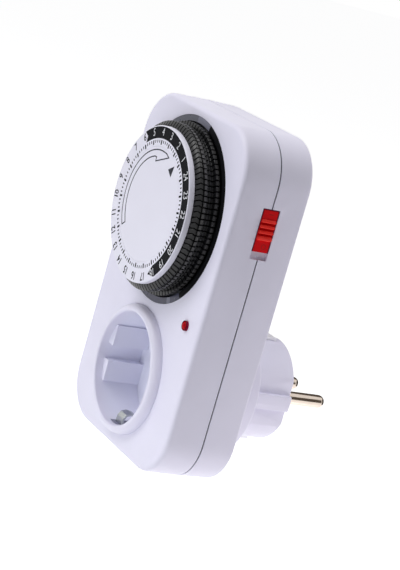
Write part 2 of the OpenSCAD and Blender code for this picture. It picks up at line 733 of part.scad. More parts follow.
module movement_plate() {
    w = plate_high - plate_low;
    color(slate) plate(y_plate, y_plate_in) difference() {
        union() {
            translate(plate_low + [plate_corner, 0]) square([w[0] - 2 * plate_corner, w[1]]);
            translate(plate_low + [0, plate_corner]) square([w[0], w[1] - 2 * plate_corner]);
            for (x = [plate_low[0] + plate_corner, plate_high[0] - plate_corner],
                 z = [plate_low[1] + plate_corner, plate_high[1] - plate_corner])
                translate([x, z]) circle(r = plate_corner);
        }
        translate(dial_c) circle(r = axle_r + 0.02);
        translate(idler_c) circle(r = idler_axle_r + 0.02);
        translate(motor_c) circle(r = shaft_r + 1);
        for (p = pillars) translate(p) circle(r = small_screw_r + gap);
        for (p = motor_ears) translate(p) circle(r = small_screw_r + gap / 2);
    }
}

module plate_screws() {
    color(steel) for (p = pillars)
        screw(p, y_plate_in, small_screw_r, plate_screw_len, small_head_r, small_head_h);
}

module motor_can() {
    y1 = y_plate_in + motor_d;
    color(steel) difference() {
        union() {
            turned([[0, y_plate_in], [can_r, y_plate_in], [can_r, y1 - 1], [can_r - 1, y1], [0, y1]],
                   motor_c);
            for (p = motor_ears) {
                rod(p, 3, y_plate_in, y_plate_in + motor_ear_t);
                translate([motor_c[0], y_plate_in, motor_c[1]])
                    rotate([0, -atan2(p[1] - motor_c[1], p[0] - motor_c[0]), 0])
                    block([can_r - 1, 0, -3], [norm(p - motor_c), motor_ear_t, 3]);
            }
        }
        rod(motor_c, shaft_r + running, y_plate_in - cut, y_plate_in + 4);
        for (p = motor_ears) rod(p, small_screw_r + gap, y_plate_in - cut, y_plate_in + motor_ear_t + cut);
    }
}

module motor_screws() {
    color(steel) for (p = motor_ears)
        screw(p, y_plate_in + motor_ear_t, small_screw_r, plate_t + motor_ear_t, small_head_r, small_head_h);
}

// A toothed wheel between y0 and y1 at c, with one tooth at angle phase
module gear(c, teeth, y0, y1, phase) {
    plate(y0, y1) translate(c) rotate(phase) polygon(gear_outline(teeth, tooth_m));
}

module motor_pinion() {
    phase = motor_angle + 180 + 180 / pinion_teeth;
    color(white) union() {
        gear(motor_c, pinion_teeth, y_wheel - 0.2, y_wheel + wheel_t + 0.2, phase);
        rod(motor_c, shaft_r, y_wheel, y_plate_in + 3.8);
    }
}

module idler_gear() {
    color(white) difference() {
        union() {
            gear(idler_c, pinion_teeth, y_gear - 0.2, y_wheel + gap, idler_angle + 180 + 180 / pinion_teeth);
            gear(idler_c, wheel_teeth, y_wheel, y_wheel + wheel_t, motor_angle);
            rod(idler_c, 2, y_wheel + wheel_t - gap, y_plate - slip);
        }
        rod(idler_c, idler_axle_r + running, y_gear - cut, y_plate + cut);
    }
}

module idler_axle() {
    color(steel) rod(idler_c, idler_axle_r, y_cup + 0.7, y_plate_in);
}

module dial_axle() {
    color(steel) difference() {
        rod(dial_c, axle_r, y_label + 1, y_plate_in);
        // groove for the axle's clip
        difference() {
            rod(dial_c, axle_r + cut, y_drum + 0.25, y_drum + 0.85);
            rod(dial_c, axle_r - 0.5, y_drum, y_drum + 1);
        }
    }
}

// A snap ring with one gap, open on its left
module snap_ring(c, r_in, r_out, y0, y1) {
    difference() {
        rod(c, r_out, y0, y1);
        rod(c, r_in, y0 - cut, y1 + cut);
        block([c[0] - r_out - cut, y0 - cut, c[1] - r_in * 0.7], [c[0], y1 + cut, c[1] + r_in * 0.7]);
    }
}

module axle_clip() {
    color(steel) snap_ring(dial_c, axle_r - 0.45, axle_r + 2.2, y_drum + 0.27, y_drum + 0.83);
}

module centre_disc() {
    color(white) difference() {
        union() {
            turned(concat([[0, y_label]], arc([centre_r - 0.25, y_label + 0.25], 0.25, -90, 0, 3),
                [[centre_r, y_label + 1.2], [0, y_label + 1.2]]), dial_c);
            rod(dial_c, axle_r + 1.5, y_label + 1.1, y_drum + 0.15);
        }
        rod(dial_c, axle_r + 0.02, y_label + 0.95, y_drum + cut);
    }
}

module dial_drum() {
    bore = axle_r + running;
    skirt_r = drum_r - drum_wall;
    groove_r = hub_r - 0.6;
    groove_end = y_clip_ring + clip_ring_t + 0.05;
    color(black) turned([[bore, y_drum + 0.95], [groove_r, y_drum + 0.95], [groove_r, y_drum],
        [drum_r, y_drum], [drum_r, y_rim], [rim_r, y_rim], [rim_r, y_rim + drum_rim_t],
        [skirt_r, y_rim + drum_rim_t], [skirt_r, y_drum + drum_plate], [hub_r, y_drum + drum_plate],
        [hub_r, y_clip_ring], [groove_r, y_clip_ring], [groove_r, groove_end], [hub_r, groove_end],
        [hub_r, y_hub], [bore, y_hub]], dial_c);
}

module hour_ring() {
    r = 0.3;
    color(white) turned(concat([[centre_r + 0.15, y_drum], [centre_r + 0.15, y_label]],
        arc([label_r - r, y_label + r], r, -90, 0, 3), [[label_r, y_drum]]), dial_c);
}

module dial_gear() {
    color(white) difference() {
        gear(dial_c, dial_teeth, y_gear, y_gear_in, idler_angle);
        rod(dial_c, hub_r + 0.02, y_gear - cut, y_gear_in + cut);
    }
}

// The dished washer that lets the dial be turned by hand against the gear
module clutch_spring() {
    y0 = y_gear_in + 0.02;
    color(steel) turned([[hub_r + 0.05, y0 + 0.2], [hub_r + 2.5, y0], [hub_r + 2.6, y0 + 0.2],
                         [hub_r + 0.05, y0 + 0.42]], dial_c);
}

module clutch_clip() {
    color(steel) snap_ring(dial_c, hub_r - 0.55, hub_r + 1.8, y_clip_ring + 0.02, y_clip_ring + clip_ring_t);
}

module switch_body() {
    color(black) difference() {
        block(switch_low, switch_high);
        rod([plunger_x, lever_z], plunger_r + gap, switch_low[1] - cut, switch_low[1] + 4);
        for (x = [switch_low[0] + 5, switch_high[0] - 5])
            translate([x, switch_high[1] - 2.6, switch_low[2] - cut])
                cylinder(r = 1.1, h = switch_size[2] + 2 * cut);
    }
}

module switch_terminals() {
    w = 3.2;
    color(brass) {
        block([terminal_in_x - w / 2, y_bar_in - bar_t * 1.5, switch_low[2] - 5.2],
              [terminal_in_x + w / 2, y_bar_in - bar_t / 2, switch_low[2]]);
        block([terminal_out_x - w / 2, y_bar_out - bar_t, switch_low[2] - 5.2],
              [terminal_out_x + w / 2, y_bar_out, switch_low[2]]);
    }
}

module switch_plunger() {
    color(red) rod([plunger_x, lever_z], plunger_r, y_lever + lever_t / 2 + 0.05, switch_low[1] + 3);
}

module switch_lever() {
    low = lever_z - lever_w / 2;
    color(steel) difference() {
        union() {
            block([finger_x, y_lever - lever_t / 2, low], [lever_x, y_lever + lever_t / 2, low + lever_w]);
            block([finger_x - finger_t / 2, y_finger + finger_t / 2, low],
                  [finger_x + finger_t / 2, y_lever + lever_t / 2, low + lever_w]);
            translate([finger_x, y_finger + finger_t / 2, low]) cylinder(r = finger_t / 2, h = lever_w);
            translate([lever_x, y_lever, low]) cylinder(r = lever_eye_r, h = lever_w);
        }
        translate([lever_x, y_lever, low - cut]) cylinder(r = lever_pin_r + running, h = lever_w + 2 * cut);
    }
}

module lever_pin() {
    low = lever_z - lever_w / 2 - 1.4;
    color(steel) translate([lever_x, y_lever, low]) cylinder(r = lever_pin_r, h = lever_w + 2.8);
}

module override_slider() {
    w = cap_w / 2;
    a = arm_w / 2;
    color(red) {
        block([side_x - recess_d + gap, y_seam - w, cap_low], [side_x + 0.05, y_seam + w, cap_top]);
        for (i = [0:rib_n - 1]) {
            z = rib_low + rib_base / 2 + i * rib_pitch;
            translate([0, y_seam + w, 0]) rotate([90, 0, 0]) linear_extrude(2 * w)
                polygon([[side_x, z - rib_base / 2], [side_x + rib_h, z - rib_crest / 2],
                         [side_x + rib_h, z + rib_crest / 2], [side_x, z + rib_base / 2]]);
        }
        block([foot_x, y_seam - stem_w / 2, stem_z[0]],
              [side_x - recess_d + gap, y_seam + stem_w / 2, stem_z[1]]);
        block([foot_x, y_seam - foot_w / 2, cap_low - 2],
              [foot_x + foot_t, y_seam + foot_w / 2, cap_top]);
        block([foot_x, y_seam - a, arm_z], [foot_x + foot_t, y_seam + a, cap_low]);
        block([arm_end, y_seam - a, arm_z], [foot_x + foot_t, y_seam + a, arm_z + arm_h]);
    }
}

// The leaf that holds the slider at either end of its travel
module detent_spring() {
    x = spring_rib[1] + 0.15;
    z = spring_z;
    path = [[x, z], [x, z + 8], [x + 0.8, z + 9.6], [x + 1.9, z + 9], [foot_x - 0.45, z + 6.5],
            [foot_x - 1, z + 3]];
    color(steel) translate([0, y_seam + 4.6, 0]) rotate([90, 0, 0])
        linear_extrude(3.6) polygon(strip(path, 0.3));
}

module lamp_lens() {
    dome = [for (a = [75:-15:0]) [lamp_r * cos(a), y_front - lamp_proud * sin(a)]];
    foot = [[lamp_r, y_front_in + gap / 2], [lamp_r + 0.6, y_front_in + gap / 2],
            [lamp_r + 0.6, y_board], [0, y_board]];
    color(red) turned(concat([[0, y_front - lamp_proud]], dome, foot), [lamp_x, lamp_z]);
}

module lamp_board() {
    color(green) translate([lamp_x - board_size[0] / 2, y_board, lamp_z - board_size[2] / 2])
        cube(board_size);
}

module lamp_resistor() {
    y = y_board + board_size[1] + 1;
    color(buff) translate([lamp_x - 3.2, y, lamp_z - 2]) rotate([0, 90, 0])
        cylinder(r = 1, h = 6.4, $fn = 32);
}

module lamp_leads() {
    y = y_board + board_size[1];
    z = lamp_z - lead_drop;
    x = [lamp_x + lead_x[0], lamp_x + lead_x[1]];
    y_low = y_bar_out + 3;
    color(black) {
        wire([[x[0], y, z], [x[0], y + lead_rise, z], [x[0], y_bar_out, lead_bend_z],
              [pin_x + bar_w / 2 + lead_r + gap, y_bar_out + bar_t / 2, lead_end_z]], lead_r);
        wire([[x[1], y, z], [x[1], y + lead_rise, z], [lamp_x - 2, y_bar_out, lead_low_z[0]],
              [-pin_x, y_low, lead_low_z[1]], [-pin_x, y_low, -sleeve_r - bar_t - lead_r - gap]], lead_r);
    }
}

module motor_leads() {
    x = [motor_c[0] + motor_lead_x[0], motor_c[0] + motor_lead_x[1]];
    y = y_bar_in + motor_lead_r;
    z = motor_c[1] - can_r + gap;
    z_end = switch_low[2] - 4;
    color(black) {
        wire([[x[0], y, z], [x[0], y, z_end], [terminal_in_x - bar_w / 2 - gap, y_bar_in, z_end]],
             motor_lead_r);
        wire([[x[1], y, z], [x[1], y, motor_lead_z], [x[1], y_bar_in + motor_lead_in, -sleeve_r - 0.5],
              [-pin_x - bar_w / 2 - gap, y_bar_in + motor_lead_in, -sleeve_r - 0.3]], motor_lead_r);
    }
}

// One tappet: a wedge of the dial's black edge, with a bevelled crown, a waist and a foot ridge
module tappet(angle) {
    inner = drum_r + gap;
    waist = tappet_r - 0.9;
    y = tappet_top;
    profile = [[inner, y], [tappet_r - 1.8, y], [tappet_r, y + 1.3], [tappet_r, y + 1.7],
        [tappet_r - 0.5, y + 1.8], [tappet_r, y + 1.9], [tappet_r, y + 2.9], [waist, y + 3.1],
        [waist, y + 3.5], [waist + 0.5, y + 3.6], [waist + 0.5, y + 4], [waist, y + 4.1],
        [waist, y + 5.1], [tappet_foot_r, y + 5.4], [tappet_foot_r, y + 7.2],
        [tappet_foot_r - 0.6, tappet_end], [inner, tappet_end]];
    span = tappet_pitch * tappet_fill;
    translate([dial_c[0], 0, dial_c[1]]) rotate([0, -angle, 0]) rotate([-90, 0, 0]) rotate([0, 0, -span / 2])
        rotate_extrude(angle = span) polygon(profile);
}

// The tappets of one group, counted clockwise from the bottom of the dial
module tappets(group) {
    middle = first_group_angle - (group - 1) * per_group * tappet_pitch;
    color(black) for (i = [0:per_group - 1])
        tappet(middle - (i - (per_group - 1) / 2) * tappet_pitch);
}

front_shell();
rear_shell();
plug_body();
socket_cup();
socket_floor();
live_pin();
neutral_pin();
plug_earth_bracket();
socket_earth_clip();
earth_link();
live_contact();
neutral_contact();
live_busbar_in();
live_busbar_out();
neutral_busbar();
housing_screws();
dial_cup();
cup_screws();
movement_plate();
plate_screws();
motor_can();
motor_screws();
motor_pinion();
idler_gear();
idler_axle();
dial_axle();
axle_clip();
centre_disc();
dial_drum();
hour_ring();
dial_gear();
clutch_spring();
clutch_clip();
switch_body();
switch_terminals();
switch_plunger();
switch_lever();
lever_pin();
override_slider();
detent_spring();
lamp_lens();
lamp_board();
lamp_resistor();
lamp_leads();
motor_leads();
tappets(1);  // tappets_01
tappets(2);  // tappets_02
tappets(3);  // tappets_03
tappets(4);  // tappets_04
tappets(5);  // tappets_05
tappets(6);  // tappets_06
tappets(7);  // tappets_07
tappets(8);  // tappets_08
tappets(9);  // tappets_09
tappets(10);  // tappets_10
tappets(11);  // tappets_11
tappets(12);  // tappets_12
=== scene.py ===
"""Looks of a plug-in mechanical timer switch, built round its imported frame.

Every piece is in metres in the part's frame: X to the right of the front, Y into the wall, Z up, with the
origin at the centre of the plug's contact face. Numbers are in millimetres and degrees, except colours.
"""

import logging
from dataclasses import dataclass, field
from enum import Enum
from math import cos, radians, sin
from typing import Sequence

import bmesh
import bpy
from bmesh.types import BMEdge, BMesh, BMFace, BMVert
from bpy.types import Material, Mesh, Node, NodeSocket, NodeTree, Object
from mathutils import Matrix, Vector


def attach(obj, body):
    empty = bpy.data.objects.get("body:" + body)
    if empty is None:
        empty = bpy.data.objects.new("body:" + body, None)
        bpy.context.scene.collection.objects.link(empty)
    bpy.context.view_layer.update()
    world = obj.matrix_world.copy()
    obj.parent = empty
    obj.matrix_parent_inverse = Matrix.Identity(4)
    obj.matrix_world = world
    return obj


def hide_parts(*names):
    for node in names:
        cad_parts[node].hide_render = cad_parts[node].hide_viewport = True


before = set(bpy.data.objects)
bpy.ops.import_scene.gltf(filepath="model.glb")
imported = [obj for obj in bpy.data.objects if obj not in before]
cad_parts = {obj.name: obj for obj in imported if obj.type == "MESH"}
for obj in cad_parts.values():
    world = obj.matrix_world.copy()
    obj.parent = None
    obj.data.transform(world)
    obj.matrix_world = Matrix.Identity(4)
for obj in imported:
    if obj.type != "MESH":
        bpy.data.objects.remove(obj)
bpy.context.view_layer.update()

LOG = logging.getLogger("timer")
MM = 0.001
MERGE = 0.001 * MM
MITRE_LIMIT = 0.35
FLAT_ANGLE = 0.4
EDGE_ANGLE = 32
Triple = tuple[float, float, float]
Colour = Triple
Point = tuple[float, float]


class Slot(Enum):
    """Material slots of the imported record."""

    BODY = "body"
    LABEL = "label"
    DIAL = "dial"
    RECESS = "recess"
    SLIDER = "slider"
    LENS = "lens"
    PINS = "pins"
    EARTH = "earth"
    BRASS = "brass"
    SCREWS = "screws"
    MOTOR = "motor"
    GEARS = "gears"
    BOARD = "board"
    RESISTOR = "resistor"
    LEADS = "leads"


def add_node(tree: NodeTree, kind: str, **inputs: object) -> Node:
    """Adds a node to a tree.

    Args:
        tree: The tree.
        kind: The node's type.
        inputs: Its sockets by name, with an underscore for a space, given a value or fed by another socket.

    Returns:
        The node.
    """
    node = tree.nodes.new(kind)
    for key, value in inputs.items():
        socket = node.inputs[key.replace("_", " ")]
        if isinstance(value, NodeSocket):
            tree.links.new(value, socket)
        else:
            socket.default_value = value
    return node


class Graph:
    """A material's node tree, with short calls for the nodes that the finishes share."""

    def __init__(self, name: str) -> None:
        """Starts a material with one principled shader.

        Args:
            name: Name of the material.
        """
        self.material = bpy.data.materials.new(name)
        self.material.use_nodes = True
        self.tree = self.material.node_tree
        self.shader = self.tree.nodes["Principled BSDF"]
        self.place = self.tree.nodes.new("ShaderNodeTexCoord").outputs["Object"]

    def set(self, **values: object) -> None:
        """Sets the shader's own sockets; an underscore in a name stands for a space."""
        for key, value in values.items():
            self.shader.inputs[key.replace("_", " ")].default_value = value

    def link(self, source: NodeSocket, socket: str) -> None:
        """Feeds one of the shader's sockets."""
        self.tree.links.new(source, self.shader.inputs[socket])

    def noise(self, size: float, detail: float = 2.0, stretch: Triple = (1, 1, 1)) -> NodeSocket:
        """Adds a noise pattern on the piece's own coordinates.

        Args:
            size: Size of its patches.
            detail: Octaves of finer noise.
            stretch: How much longer the patches are along each axis.

        Returns:
            The pattern's value, from 0 to 1.
        """
        scale = [1 / s for s in stretch]
        mapping = add_node(self.tree, "ShaderNodeMapping", Vector=self.place, Scale=scale)
        node = add_node(self.tree, "ShaderNodeTexNoise", Vector=mapping.outputs["Vector"],
                        Scale=1 / (size * MM), Detail=detail)
        return node.outputs["Fac"]

    def spread(self, source: NodeSocket, low: float, high: float) -> NodeSocket:
        """Maps a pattern's middle range to low..high."""
        node = add_node(self.tree, "ShaderNodeMapRange", Value=source, From_Min=0.3, From_Max=0.7,
                        To_Min=low, To_Max=high)
        return node.outputs["Result"]

    def shades(self, source: NodeSocket, dark: Colour, light: Colour) -> NodeSocket:
        """Maps a pattern to a blend of two colours.

        Args:
            source: The pattern.
            dark: The colour where it is low.
            light: The colour where it is high.

        Returns:
            The blended colour.
        """
        node = add_node(self.tree, "ShaderNodeValToRGB", Fac=source)
        for stop, position, colour in zip(node.color_ramp.elements, (0.35, 0.65), (dark, light)):
            stop.position = position
            stop.color = (*colour, 1)
        return node.outputs["Color"]

    def by_depth(self, near: NodeSocket, far: Colour, start: float, end: float) -> NodeSocket:
        """Blends a colour into another one along Y.

        Args:
            near: The colour in front.
            far: The colour behind.
            start: Y where the blend starts.
            end: Y where it ends.

        Returns:
            The blended colour.
        """
        split = add_node(self.tree, "ShaderNodeSeparateXYZ", Vector=self.place)
        blend = add_node(self.tree, "ShaderNodeMapRange", Value=split.outputs["Y"], From_Min=start * MM,
                         From_Max=end * MM)
        mix = add_node(self.tree, "ShaderNodeMix", Factor=blend.outputs["Result"])
        mix.data_type = "RGBA"
        self.tree.links.new(near, mix.inputs[6])
        mix.inputs[7].default_value = (*far, 1)
        return mix.outputs[2]

    def relief(self, source: NodeSocket, height: float) -> None:
        """Makes a pattern stand out of the surface.

        Args:
            source: The pattern.
            height: Height of the relief.
        """
        node = add_node(self.tree, "ShaderNodeBump", Distance=height * MM, Height=source)
        self.link(node.outputs["Normal"], "Normal")


@dataclass(frozen=True)
class Finish:
    """A surface of one kind; each kind dresses its own graph."""

    name: str
    colour: Colour

    def material(self) -> Material:
        """Builds the surface.

        Returns:
            Its material.
        """
        graph = Graph(self.name)
        self.dress(graph)
        return graph.material

    def dress(self, graph: Graph) -> None:
        """Adds its nodes."""
        raise NotImplementedError


@dataclass(frozen=True)
class Moulding(Finish):
    """Moulded plastic: an even colour that drifts a little, over a fine spark-eroded grain."""

    roughness: float = 0.42
    drift: float = 0.012
    grain: float = 0.35
    grain_height: float = 0.006
    shine: float = 0.5
    # Tint blended in towards the back along Y; on the socket it is a painted cool shade deep in the well.
    deep: Colour | None = None
    deep_y: Point = (-58.5, -54.0)
    patch: float = 14
    gloss_patch: float = 3
    gloss_drift: float = 0.04

    def dress(self, graph: Graph) -> None:
        """Adds its nodes."""
        dark, light = (tuple(min(1.0, c * (1 + s * self.drift)) for c in self.colour) for s in (-1, 1))
        colour = graph.shades(graph.noise(self.patch, 3), dark, light)
        # Painted shade: the colour turns to the deep tint further back along Y.
        if self.deep:
            colour = graph.by_depth(colour, self.deep, *self.deep_y)
        graph.link(colour, "Base Color")
        low, high = self.roughness - self.gloss_drift, self.roughness + self.gloss_drift
        graph.link(graph.spread(graph.noise(self.gloss_patch, 3), low, high), "Roughness")
        graph.relief(graph.noise(self.grain, 2), self.grain_height)
        graph.set(Specular_IOR_Level=self.shine)


@dataclass(frozen=True)
class Plated(Finish):
    """Bare or plated metal, drawn or ground along one axis."""

    roughness: float = 0.22
    streak: Triple = (1, 12, 1)
    tarnish: float = 0.06
    stain: float = 2.5
    line: float = 0.12
    line_height: float = 0.0015

    def dress(self, graph: Graph) -> None:
        """Adds its nodes."""
        dark = tuple(c * (1 - self.tarnish) for c in self.colour)
        graph.link(graph.shades(graph.noise(self.stain, 4), dark, self.colour), "Base Color")
        lines = graph.noise(self.line, 3, self.streak)
        graph.link(graph.spread(lines, self.roughness - 0.05, self.roughness + 0.07), "Roughness")
        graph.relief(lines, self.line_height)
        graph.set(Metallic=1.0)


@dataclass(frozen=True)
class Ink(Finish):
    """Printed ink: a flat colour, a little uneven, slightly glossier than what it is printed on."""

    roughness: float = 0.35
    shine: float = 0.5
    speck: float = 0.5
    gloss_speck: float = 0.3
    gloss_drift: float = 0.05

    def dress(self, graph: Graph) -> None:
        """Adds its nodes."""
        thin = tuple(min(1.0, c * 1.15 + 0.006) for c in self.colour)
        graph.link(graph.shades(graph.noise(self.speck, 3), self.colour, thin), "Base Color")
        low, high = self.roughness - self.gloss_drift, self.roughness + self.gloss_drift
        graph.link(graph.spread(graph.noise(self.gloss_speck), low, high), "Roughness")
        graph.set(Specular_IOR_Level=self.shine)


@dataclass(frozen=True)
class Lens(Finish):
    """Glossy tinted plastic, its colour drifting in patches between a deeper and a paler tint."""

    deep: Colour

    def dress(self, graph: Graph) -> None:
        """Adds its nodes."""
        graph.link(graph.shades(graph.noise(2.4, 1), self.deep, self.colour), "Base Color")
        graph.set(Roughness=0.16, Specular_IOR_Level=0.04, Coat_Weight=0.05, Coat_Roughness=0.06)


WHITE = Moulding("white_moulding", (0.776, 0.755, 0.89))
# The socket's white, with a painted bluish shade deeper in its well.
SOCKET_WHITE_PAINTED_SHADE = Moulding("socket_white_painted_shade", (0.776, 0.755, 0.89), deep=(0.8, 0.8, 0.93))
LABEL_WHITE = Moulding("label_white", (0.77, 0.755, 0.86), 0.36, 0.006, 0.6, 0.002)
BLACK = Moulding("black_moulding", (0.004, 0.004, 0.005), 0.3, 0.25, 0.3, 0.003, 0.3)
# Paler black for the tappets' flats: a painted highlight where they catch the light.
PAINTED_SHEEN_BLACK = Moulding("painted_sheen_black", (0.034, 0.033, 0.033), 0.3, 0.2, 0.3, 0.003, 0.5)
# Black painted shadow for the recess's edge where the dial shades it.
SHADE = Moulding("painted_shadow_black", (0.004, 0.004, 0.005), 0.5, 0.2, shine=0.05)
# Dark grey strip in the case's groove: a painted shadow along the seam.
SEAM_SHADOW = Moulding("painted_seam_shadow", (0.1, 0.1, 0.13), 0.6, 0.1, shine=0.1)
# Dark purple strips: a painted shadow in the gap round the slider's cap.
GAP_SHADOW = Moulding("painted_gap_shadow", (0.12, 0.028, 0.065), 0.5, 0.1, shine=0.1)
SLATE = Moulding("slate_moulding", (0.074, 0.078, 0.108), 0.3, 0.08, 0.6, 0.001, 0.3)
# Darker and paler slates: painted shade and painted highlights on the recess's edge.
PAINTED_SHADE_SLATE = Moulding("painted_shade_slate", (0.029, 0.029, 0.066), 0.3, 0.08, 0.6, 0.001, 0.3)
PAINTED_HIGHLIGHT_SLATE = Moulding("painted_highlight_slate", (0.165, 0.165, 0.23), 0.3, 0.08, 0.6, 0.001, 0.3)
RED = Moulding("red_moulding", (0.64, 0.008, 0.011), 0.36, 0.05, 0.3, 0.004, 0.06)
# Lighter and darker reds: painted highlight on the slider's ribs and painted shade in the valleys between
# them.
PAINTED_HIGHLIGHT_RED = Moulding("painted_highlight_red", (0.84, 0.045, 0.035), 0.36, 0.05, 0.3, 0.004, 0.1)
PAINTED_SHADE_RED = Moulding("painted_shade_red", (0.46, 0.001, 0.002), 0.36, 0.05, 0.3, 0.004, 0.03)
ACETAL = Moulding("acetal", (0.72, 0.71, 0.66), 0.35)
LAMINATE = Moulding("green_laminate", (0.05, 0.19, 0.07), 0.35, 0.15)
LACQUER = Moulding("tan_lacquer", (0.5, 0.36, 0.2), 0.3, 0.1)
RUBBER = Moulding("wire_insulation", (0.03, 0.03, 0.03), 0.5, 0.1)
NICKEL = Plated("nickel_plate", (0.72, 0.62, 0.54), 0.1)
SPRING = Plated("plated_spring_strip", (0.46, 0.48, 0.48), 0.24)
EARTH = Plated("plated_earth_strip", (0.86, 0.85, 0.9), 0.62)
BRASS = Plated("pressed_brass", (0.62, 0.44, 0.16), 0.25)
ZINC = Plated("zinc_plate", (0.52, 0.52, 0.53), 0.3, (1, 1, 1))
CAN = Plated("motor_can", (0.48, 0.48, 0.5), 0.36, (6, 1, 1))
BLACK_INK = Ink("black_ink", (0.004, 0.004, 0.006), 0.4, 0.02)
GREY_INK = Ink("grey_ink", (0.03, 0.03, 0.04), 0.4, 0.03)
DEEP_RED_INK = Ink("deep_red_ink", (0.42, 0.012, 0.012), 0.4, 0.05)
WHITE_INK = Ink("white_ink", (0.68, 0.68, 0.72))
LAMP_RED = Lens("lamp_red", (0.5, 0.002, 0.008), (0.38, 0.001, 0.006))
LAMP_SIDE = Lens("lamp_side", (0.3, 0.002, 0.04), (0.22, 0.001, 0.03))
# Dark red ring at the dome's foot: a painted shadow in the gap round the dome.
LAMP_RIM = Lens("lamp_rim", (0.12, 0.001, 0.012), (0.08, 0.001, 0.01))


@dataclass
class Workshop:
    """Keeps the materials and turns meshes into finished pieces."""

    materials: dict[str, Material] = field(default_factory=dict)

    def material(self, finish: Finish) -> Material:
        """Looks up a finish's material, which is built once.

        Args:
            finish: The finish.

        Returns:
            Its material.
        """
        if finish.name not in self.materials:
            self.materials[finish.name] = finish.material()
        return self.materials[finish.name]

    def piece(self, name: str, mesh: Mesh, finish: Finish, slot: Slot, replaces: Sequence[str] = (),
              smooth: float | None = 35, body: str = "housing") -> Object:
        """Makes a mesh into a piece that rides on a body.

        Args:
            name: Name of the piece.
            mesh: Its mesh, in place.
            finish: Its finish.
            slot: The record's slot that it takes its finish from; not used.
            replaces: Nodes that it stands for.
            smooth: Edges flatter than this, in degrees, are shaded smooth; None keeps the shading.
            body: The body that it moves with.

        Returns:
            The new object.
        """
        obj = placed(name, mesh)
        mesh.name = name
        mesh.materials.clear()
        mesh.materials.append(self.material(finish))
        if smooth is not None:
            mesh.shade_smooth()
            mesh.set_sharp_from_angle(angle=radians(smooth))
        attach(obj, body)
        if replaces:
            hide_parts(*replaces)
        LOG.info("%s: %d faces on %s", name, len(mesh.polygons), body)
        return obj

    def refined(self, node: str, name: str, finish: Finish, slot: Slot, edge: float = 0.15,
                steps: int = 2, body: str = "housing") -> Object:
        """Makes a piece from a node's own shape, with its facets joined and its edges broken.

        Args:
            node: The node.
            name: Name of the piece.
            finish: Its finish.
            slot: The record's slot.
            edge: Width of the broken edges.
            steps: Faces across a broken edge.
            body: The body that it moves with.

        Returns:
            The new object, which stands for the node.
        """
        bm = bmesh.new()
        bm.from_mesh(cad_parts[node].data)
        bmesh.ops.remove_doubles(bm, verts=bm.verts, dist=MERGE)
        bmesh.ops.dissolve_limit(bm, angle_limit=radians(FLAT_ANGLE), verts=bm.verts, edges=bm.edges)
        obj = self.piece(name, as_mesh(bm), finish, slot, [node], body=body)
        if edge:
            bevel = obj.modifiers.new("edges", "BEVEL")
            bevel.width = edge * MM
            bevel.segments = steps
            bevel.limit_method = "ANGLE"
            bevel.angle_limit = radians(EDGE_ANGLE)
            bevel.harden_normals = bevel.use_clamp_overlap = True
        return obj


def place(x: float, y: float, z: float) -> Vector:
    """A point given in millimetres, in metres."""
    return Vector((x, y, z)) * MM


def polar(radius: float, angle: float, centre: Point = (0, 0)) -> Point:
    """A point in the X-Z plane at an angle in degrees, counted from +X towards +Z."""
    turn = radians(angle)
    return centre[0] + radius * cos(turn), centre[1] + radius * sin(turn)


def around(radius: float, y: float, angle: float, centre: Point = (0, 0)) -> Vector:
    """A place at a radius and an angle round an axis along Y."""
    x, z = polar(radius, angle, centre)
    return place(x, y, z)


def rectangle(x: Point, z: Point) -> list[Point]:
    """The corners of a rectangle between two values of x and two of z."""
    return [(x[0], z[0]), (x[1], z[0]), (x[1], z[1]), (x[0], z[1])]


def placed(name: str, data: bpy.types.ID) -> Object:
    """Puts a new object into the scene.

    Args:
        name: Its name.
        data: The mesh, text, lamp or camera that it shows.

    Returns:
        The object.
    """
    obj = bpy.data.objects.new(name, data)
    bpy.context.scene.collection.objects.link(obj)
    return obj


def evaluated(obj: Object) -> Mesh:
    """Turns an object into a plain mesh and removes it.

    Args:
        obj: An object with modifiers, or a text.

    Returns:
        The mesh that they make.
    """
    graph = bpy.context.evaluated_depsgraph_get()
    mesh = bpy.data.meshes.new_from_object(obj.evaluated_get(graph), depsgraph=graph)
    obj.modifiers.clear()
    bpy.data.objects.remove(obj)
    return mesh


def as_mesh(bm: BMesh, clean: bool = False) -> Mesh:
    """Writes an edited mesh out.

    Args:
        bm: The mesh, which is freed.
        clean: Whether doubles are merged and faces turned outwards first.

    Returns:
        The new mesh.
    """
    if clean:
        bmesh.ops.remove_doubles(bm, verts=bm.verts, dist=MERGE)
        bmesh.ops.recalc_face_normals(bm, faces=bm.faces)
    mesh = bpy.data.meshes.new("mesh")
    bm.to_mesh(mesh)
    bm.free()
    return mesh


def skin(bm: BMesh, loops: Sequence[Sequence[BMVert]], ends: bool = True) -> list[BMFace]:
    """Joins closed loops of as many vertices, each with the next one.

    Args:
        bm: The mesh that they are in.
        loops: The loops.
        ends: Whether the first and the last loop are filled.

    Returns:
        The new faces; those that fill the ends come first.
    """
    faces = [bm.faces.new(loops[0]), bm.faces.new(loops[-1][::-1])] if ends else []
    for here, there in zip(loops, loops[1:]):
        for i in range(len(here)):
            j = (i + 1) % len(here)
            faces.append(bm.faces.new((here[i], there[i], there[j], here[j])))
    return faces


def bevelled(bm: BMesh, edges: Sequence[BMEdge], width: float, steps: int) -> None:
    """Breaks some of a mesh's edges, with so many faces across each."""
    bmesh.ops.bevel(bm, geom=edges, offset=width * MM, segments=steps, affect="EDGES", clamp_overlap=True)


